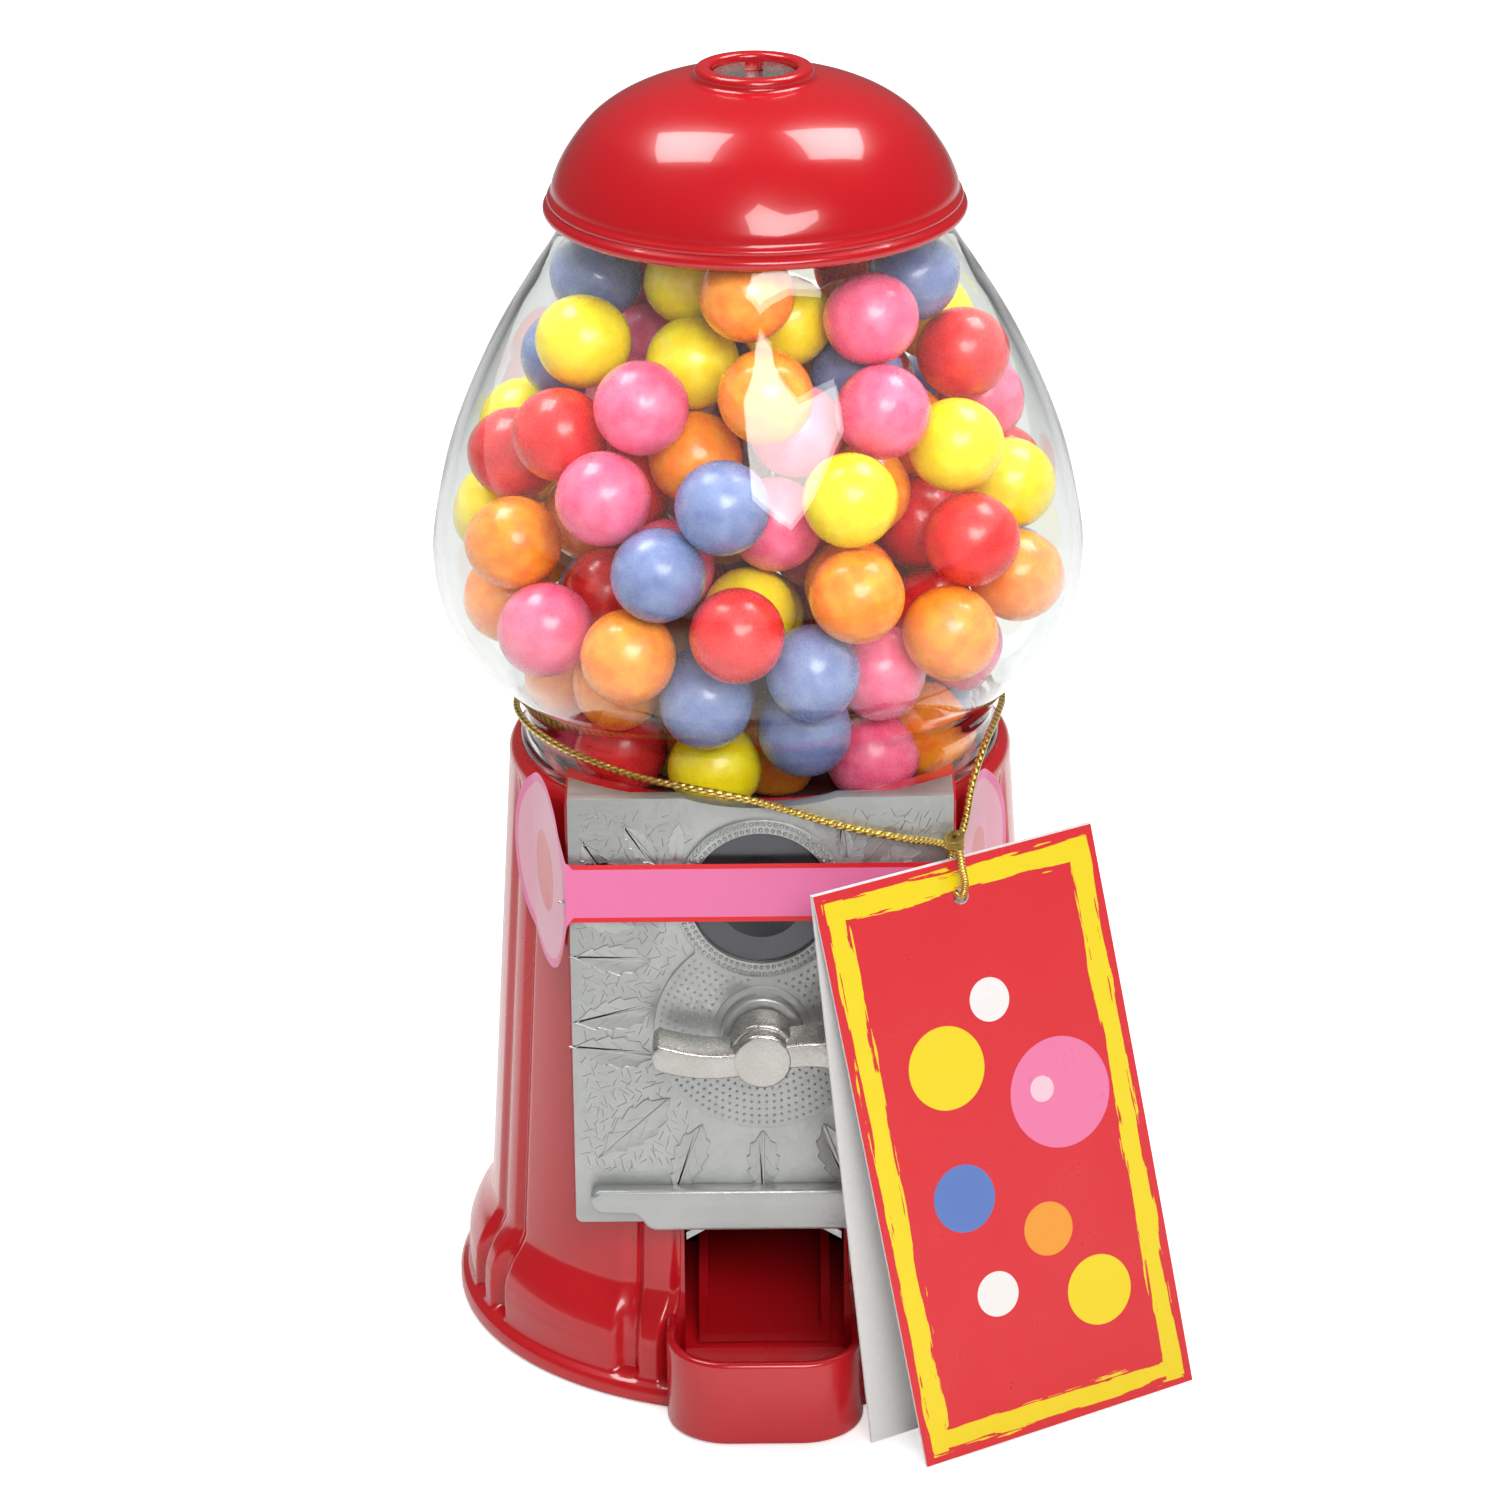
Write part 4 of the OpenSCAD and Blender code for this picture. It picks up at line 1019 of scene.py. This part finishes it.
# UV is in millimetres from the band's middle: u along the band, v across it
seal_u = math_node(seal_paper, "ABSOLUTE", seal_split.outputs["X"])
seal_v = math_node(seal_paper, "ABSOLUTE", seal_split.outputs["Y"])
flare = math_node(seal_paper, "MAXIMUM", math_node(seal_paper, "SUBTRACT", seal_u, 32.0), 0.0)
edge_here = math_node(seal_paper, "ADD", math_node(seal_paper, "MULTIPLY", flare, 1.35), 4.45)
red_edge = math_node(seal_paper, "GREATER_THAN", seal_v, edge_here)
oval_u = math_node(seal_paper, "DIVIDE", math_node(seal_paper, "SUBTRACT", seal_u, 51), 15.4)
oval_v = math_node(seal_paper, "DIVIDE", math_node(seal_paper, "ADD", seal_split.outputs["Y"], 3), 15.4)
oval_far = math_node(seal_paper, "SQRT", square_sum(seal_paper, oval_u, oval_v))
in_oval = math_node(seal_paper, "LESS_THAN", oval_far, 1.0)
in_middle = math_node(seal_paper, "LESS_THAN", oval_far, 0.46)
band_colour = add_mix(seal_paper, red_edge, (0.86, 0.19, 0.42), (0.8, 0.01, 0.02))
oval_colour = add_mix(seal_paper, in_middle, (0.86, 0.42, 0.52), (0.8, 0.25, 0.26))
feed(seal_paper, "Base Color", add_mix(seal_paper, in_oval, band_colour, oval_colour))
feed(seal_paper, "Roughness", add_range(seal_paper, seal_wear.outputs["Slow"], 0.3, 0.5))
add_bump(seal_paper, seal_wear.outputs["Slow"], 0.0002, 0.4)

seal_middle = 98.0
seal_front = 50.75
seal_bend = 33.2
seal_flat = 26.75


def seal_at(u, v):
    """Where a point of the flat seal lies once it is stuck on."""
    s = -1 if u < 0 else 1
    along = abs(u)
    height = seal_middle + v
    if along < seal_bend:
        return (s * along, -seal_front, height)
    # straight back past the plate's side to the wall of the base, then round it
    rest = along - seal_bend
    if rest < seal_flat:
        t = rest / seal_flat
        return (s * (seal_bend + 6.3 * t), -seal_front + 26 * t, height)
    a = math.atan2(39.5, 24.75) + (rest - seal_flat) / 46.9
    return (s * 46.61 * math.sin(a), -46.61 * math.cos(a), height)


end_middle = (51, -3)
end_round = [
    (end_middle[0] + 17 * math.cos(math.radians(a)), end_middle[1] + 17 * math.sin(math.radians(a)))
    for a in range(138, -153, -10)
]
side_line = bent([(32.5, 5.35)] + end_round + [(32.5, -5.35)], 3)


def keep_flat_place(sheet):
    """Keeps where each point of a flat sheet lies, in mm, as its UV."""
    layer = sheet.data.uv_layers.active or sheet.data.uv_layers.new(name="flat")
    for polygon in sheet.data.polygons:
        for loop in polygon.loop_indices:
            flat = sheet.data.vertices[sheet.data.loops[loop].vertex_index].co / mm
            layer.data[loop].uv = (flat.x, flat.y)


seal_outline = side_line + [(-x, y) for x, y in reversed(side_line)]
clear_selection()
bpy.ops.mesh.primitive_grid_add(x_subdivisions=190, y_subdivisions=44, size=1)
seal = named("paper_seal")
seal.scale = (140 * mm, 44 * mm, 1)
settle(seal)
seal_cutter = sheet_shape("seal_cutter", seal_outline, 8, lambda x, y, z: (x, y, z - 4))
cut(seal, [seal_cutter], "INTERSECT")
keep_flat_place(seal)
for vertex in seal.data.vertices:
    vertex.co = Vector(seal_at(vertex.co.x / mm, vertex.co.y / mm)) * mm
smooth_faces(seal, 60)
dress(seal, seal_paper)
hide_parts("seal_band")
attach(seal, "frame")

# ---- Folded card -----------------------------------------------------------------------------
# A card folded at the top and hung by the cord through its hole: red outside, with a border brushed
# in yellow, and plain white inside.

fold_left = Vector((8.4, -68, 104.8))
card_along = Vector((0.846, 0.534, 0))
card_out = Vector((0.534, -0.846, 0))
card_wide = 56.8
front_foot = Vector((27.6, -75.3, 0.4))
back_foot = Vector((18.5, -67.1, 0.4))
card_high = (front_foot - fold_left).length
card_thick = 0.42
card_hole = (28.4, 6.5)

card_print = material("card_print", (0.62, 0.01, 0.015), 0.32, coat=0.15, coat_rough=0.2)
card_uv = add_node(card_print, "ShaderNodeTexCoord")
card_split = add_node(card_print, "ShaderNodeSeparateXYZ")
join(card_print, card_uv.outputs["UV"], card_split.inputs["Vector"])
card_u = card_split.outputs["X"]
card_v = card_split.outputs["Y"]


def stretched_noise(made, source, scale, size):
    place = add_node(made, "ShaderNodeMapping")
    place.inputs["Scale"].default_value = scale
    noise = add_node(made, "ShaderNodeTexNoise")
    noise.inputs["Scale"].default_value = size
    noise.inputs["Detail"].default_value = 5
    join(made, source, place.inputs["Vector"])
    join(made, place.outputs["Vector"], noise.inputs["Vector"])
    return noise.outputs["Fac"]


def band_mask(made, distance, noise, middle, half):
    """A brushed line at a distance from an edge, with torn sides."""
    push = math_node(made, "MULTIPLY", math_node(made, "SUBTRACT", noise, 0.5), 5.0)
    pushed = math_node(made, "ADD", distance, push)
    off = math_node(made, "ABSOLUTE", math_node(made, "SUBTRACT", pushed, middle))
    return math_node(made, "LESS_THAN", off, half)


long_grain = stretched_noise(card_print, card_uv.outputs["UV"], (1.3, 0.09, 1), 1.0)
wide_grain = stretched_noise(card_print, card_uv.outputs["UV"], (0.09, 1.3, 1), 1.0)
left_gap = card_u
right_gap = math_node(card_print, "SUBTRACT", card_wide, card_u)
top_gap = card_v
low_gap = math_node(card_print, "SUBTRACT", card_high, card_v)
side_gap = math_node(card_print, "MINIMUM", left_gap, right_gap)
end_gap = math_node(card_print, "MINIMUM", top_gap, low_gap)
side_line_mask = band_mask(card_print, side_gap, long_grain, 3.6, 1.9)
end_line_mask = band_mask(card_print, end_gap, wide_grain, 3.6, 1.9)
inside_side = math_node(card_print, "GREATER_THAN", end_gap, 1.7)
inside_end = math_node(card_print, "GREATER_THAN", side_gap, 1.7)
border = math_node(
    card_print,
    "MAXIMUM",
    math_node(card_print, "MULTIPLY", side_line_mask, inside_side),
    math_node(card_print, "MULTIPLY", end_line_mask, inside_end),
)
card_colour = add_mix(card_print, border, (0.72, 0.012, 0.022), (0.9, 0.7, 0.0))


def printed_dot(made, colour, u, v, radius, paint):
    """A round spot of flat colour on the card."""
    du = math_node(made, "SUBTRACT", card_u, u)
    dv = math_node(made, "SUBTRACT", card_v, v)
    inside = math_node(made, "LESS_THAN", square_sum(made, du, dv), radius * radius)
    return add_mix(made, inside, colour, paint)


for u, v, radius, paint in (
    (40.5, 46, 10.2, (0.86, 0.2, 0.4)), (19, 36, 7.6, (0.9, 0.7, 0.0)), (17.5, 60, 6.2, (0.1, 0.2, 0.55)),
    (33, 70, 5, (0.9, 0.34, 0.02)), (20.5, 79, 4.2, (0.9, 0.88, 0.86)), (41, 84, 6.6, (0.9, 0.7, 0.0)),
    (30, 26, 4, (0.9, 0.88, 0.86)), (37, 44.5, 2.4, (0.94, 0.6, 0.7)),
):
    card_colour = printed_dot(card_print, card_colour, u, v, radius, paint)
feed(card_print, "Base Color", card_colour)
add_wear(card_print, 120, 1500, None, (0.26, 0.4), (0.00003, 0.5), "Slow")

card_white = material("card_white", (0.8, 0.8, 0.79), 0.6)
white_wear = add_unevenness(card_white, 60, 1200)
white_colour = add_mix(card_white, white_wear.outputs["Fine"], (0.74, 0.74, 0.73), (0.84, 0.84, 0.83))
feed(card_white, "Base Color", white_colour)
add_bump(card_white, white_wear.outputs["Fine"], 0.00004, 0.5)


def card_leaf(name, foot, side):
    """One leaf of the card, a thin sheet with a slight bow, and its flat place kept as UV in mm."""
    clear_selection()
    bpy.ops.mesh.primitive_grid_add(x_subdivisions=48, y_subdivisions=84, size=1)
    made = named(name)
    made.scale = (card_wide * mm, card_high * mm, 1)
    made.location = (card_wide / 2 * mm, card_high / 2 * mm, 0)
    settle(made)
    hole = rod("hole", 1.55, (*card_hole, -3), (*card_hole, 3), 40)
    keep_flat_place(made)
    take(made)
    wall = made.modifiers.new("wall", "SOLIDIFY")
    wall.thickness = card_thick * mm
    wall.offset = 0
    wall.material_offset = 1
    wall.material_offset_rim = 1
    made.data.materials.append(card_print)
    made.data.materials.append(card_white)
    bpy.ops.object.modifier_apply(modifier="wall")
    cut(made, [hole])
    down = (foot - fold_left) / card_high
    for vertex in made.data.vertices:
        u, v, w = vertex.co / mm
        bow = 0.35 * math.sin(math.pi * v / card_high) * (1 if side > 0 else 0.6)
        lift = card_out * (side * (card_thick / 2 + 0.04) + w + (bow if side > 0 else -bow * 0.5))
        vertex.co = (fold_left + card_along * u + down * v + lift) * mm
    made.data.update()
    return face_outward(made)


card_front = card_leaf("card_front", front_foot, 1)
card_back = card_leaf("card_back", back_foot, -1)
take(card_back)
for polygon in card_front.data.polygons:
    outward = polygon.normal.dot(card_out)
    polygon.material_index = 0 if outward > 0.5 else 1
for polygon in card_back.data.polygons:
    polygon.material_index = 1
hang_card = smooth_faces(unite("folded_card", [card_front, card_back]), 50)
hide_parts("hang_tag")
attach(hang_card, "frame")

# ---- Inner works -----------------------------------------------------------------------------
# Plain steel, brass, rubber and plastic parts of the coin mechanism, the dispenser and the fixings.


def plain_finish(name, color, rough, metal, slow, fine, height, names):
    made = material(name, color, rough, metal)
    darker = tuple(v * 0.82 for v in color)
    lighter = tuple(min(1, v * 1.14) for v in color)
    add_wear(made, slow, fine, (darker, lighter), (rough * 0.8, rough * 1.25), (height, 0.4))
    for node_name in names:
        dress(nodes[node_name], made)
    return made


plain_finish("plated_steel", (0.55, 0.55, 0.54), 0.3, 0.9, 80, 1200, 0.00005,
             ("cover_screws", "plate_screws", "handle_pin", "drive_shaft", "ratchet_wheel", "pawl",
              "pawl_spring", "rear_clip", "hopper_screws", "chute_screws", "coin_deflector", "centre_rod",
              "rod_nut", "rod_washer"))
plain_finish("black_steel", (0.06, 0.06, 0.062), 0.45, 0.3, 60, 900, 0.00006, ("bottom_cover", "pawl_plate"))
plain_finish("bush_brass", (0.62, 0.45, 0.18), 0.28, 0.95, 80, 1200, 0.00004, ("front_bush",))
plain_finish("black_rubber", (0.025, 0.025, 0.027), 0.6, 0.0, 90, 1400, 0.00008,
             ("coin_plug", "neck_gasket", "lid_gasket"))
plain_finish("white_plastic", (0.72, 0.72, 0.7), 0.35, 0.0, 60, 900, 0.00005, ("dispensing_drum",))
plain_finish("grey_plastic", (0.2, 0.2, 0.205), 0.42, 0.0, 60, 900, 0.00006, ("drum_housing", "hopper"))

# ---- Table and light -------------------------------------------------------------------------
# A white table that keeps the object's shadow, two window-like lights overhead, and one big
# irregular panel over the camera.

table_white = material("table_white", (0.9, 0.9, 0.9), 0.7)
table_place = add_node(table_white, "ShaderNodeTexCoord")
table_far = add_node(table_white, "ShaderNodeVectorMath", operation="LENGTH")
join(table_white, table_place.outputs["Object"], table_far.inputs[0])
table_fade = add_node(table_white, "ShaderNodeMapRange")
for name, value in (("From Min", 0.1), ("From Max", 0.34), ("To Min", 0.5), ("To Max", 1.0)):
    table_fade.inputs[name].default_value = value
join(table_white, table_far.outputs["Value"], table_fade.inputs["Value"])
table_path = add_node(table_white, "ShaderNodeLightPath")
glow = math_node(table_white, "MULTIPLY", table_fade.outputs["Result"], table_path.outputs["Is Camera Ray"])
shader_of(table_white).inputs["Emission Color"].default_value = (1, 1, 1, 1)
feed(table_white, "Emission Strength", glow)
shader_of(table_white).inputs["Specular IOR Level"].default_value = 0.1
clear_selection()
bpy.ops.mesh.primitive_plane_add(size=8, location=(0, 0, -0.0002))
floor = named("table")
dress(floor, table_white)

world = bpy.data.worlds.new("studio")
bpy.context.scene.world = world
world.use_nodes = True
background = world.node_tree.nodes["Background"]
background.inputs["Strength"].default_value = 0.12
background.inputs["Color"].default_value = (1, 1, 1, 1)
bright = add_node(world, "ShaderNodeBackground", Color=(1, 1, 1, 1), Strength=1)
seen = add_node(world, "ShaderNodeLightPath")
pick = add_node(world, "ShaderNodeMixShader")
either = math_node(world, "MAXIMUM", seen.outputs["Is Camera Ray"], seen.outputs["Is Transmission Ray"])
join(world, either, pick.inputs["Fac"])
join(world, background.outputs["Background"], pick.inputs[1])
join(world, bright.outputs["Background"], pick.inputs[2])
join(world, pick.outputs["Shader"], world.node_tree.nodes["World Output"].inputs["Surface"])


def area_light(name, at, target, width, height, power, colour=(1, 1, 1)):
    data = bpy.data.lights.new(name, "AREA")
    data.shape = "RECTANGLE"
    data.size = width
    data.size_y = height
    data.energy = power
    data.color = colour
    lamp = bpy.data.objects.new(name, data)
    bpy.context.scene.collection.objects.link(lamp)
    lamp.location = at
    lamp.rotation_euler = (Vector(target) - Vector(at)).to_track_quat("-Z", "Y").to_euler()
    return lamp


area_light("left_window", (-0.45, 0.2, 1.24), (0, 0, 0.12), 0.6, 0.5, 8.5)
area_light("right_window", (0.5, 0.27, 1.2), (0, 0, 0.12), 0.6, 0.5, 8.5)

panel_glow = material("panel_glow", (0, 0, 0), 1)
shader_of(panel_glow).inputs["Emission Color"].default_value = (1, 0.97, 0.96, 1)
shader_of(panel_glow).inputs["Emission Strength"].default_value = 9.5
clear_selection()
bpy.ops.mesh.primitive_circle_add(vertices=7, fill_type="NGON")
panel = named("panel")
for vertex, place in zip(
    panel.data.vertices,
    (
        (0.335, -0.928, 0.928), (0.627, -0.739, 0.945), (0.663, -0.846, 0.792), (0.249, -1.173, 0.518),
        (-0.041, -1.145, 0.661), (-0.113, -0.966, 0.944), (0.035, -0.827, 1.098),
    ),
):
    vertex.co = place
panel.data.update()
dress(panel, panel_glow)

bpy.context.scene.view_settings.view_transform = "Standard"
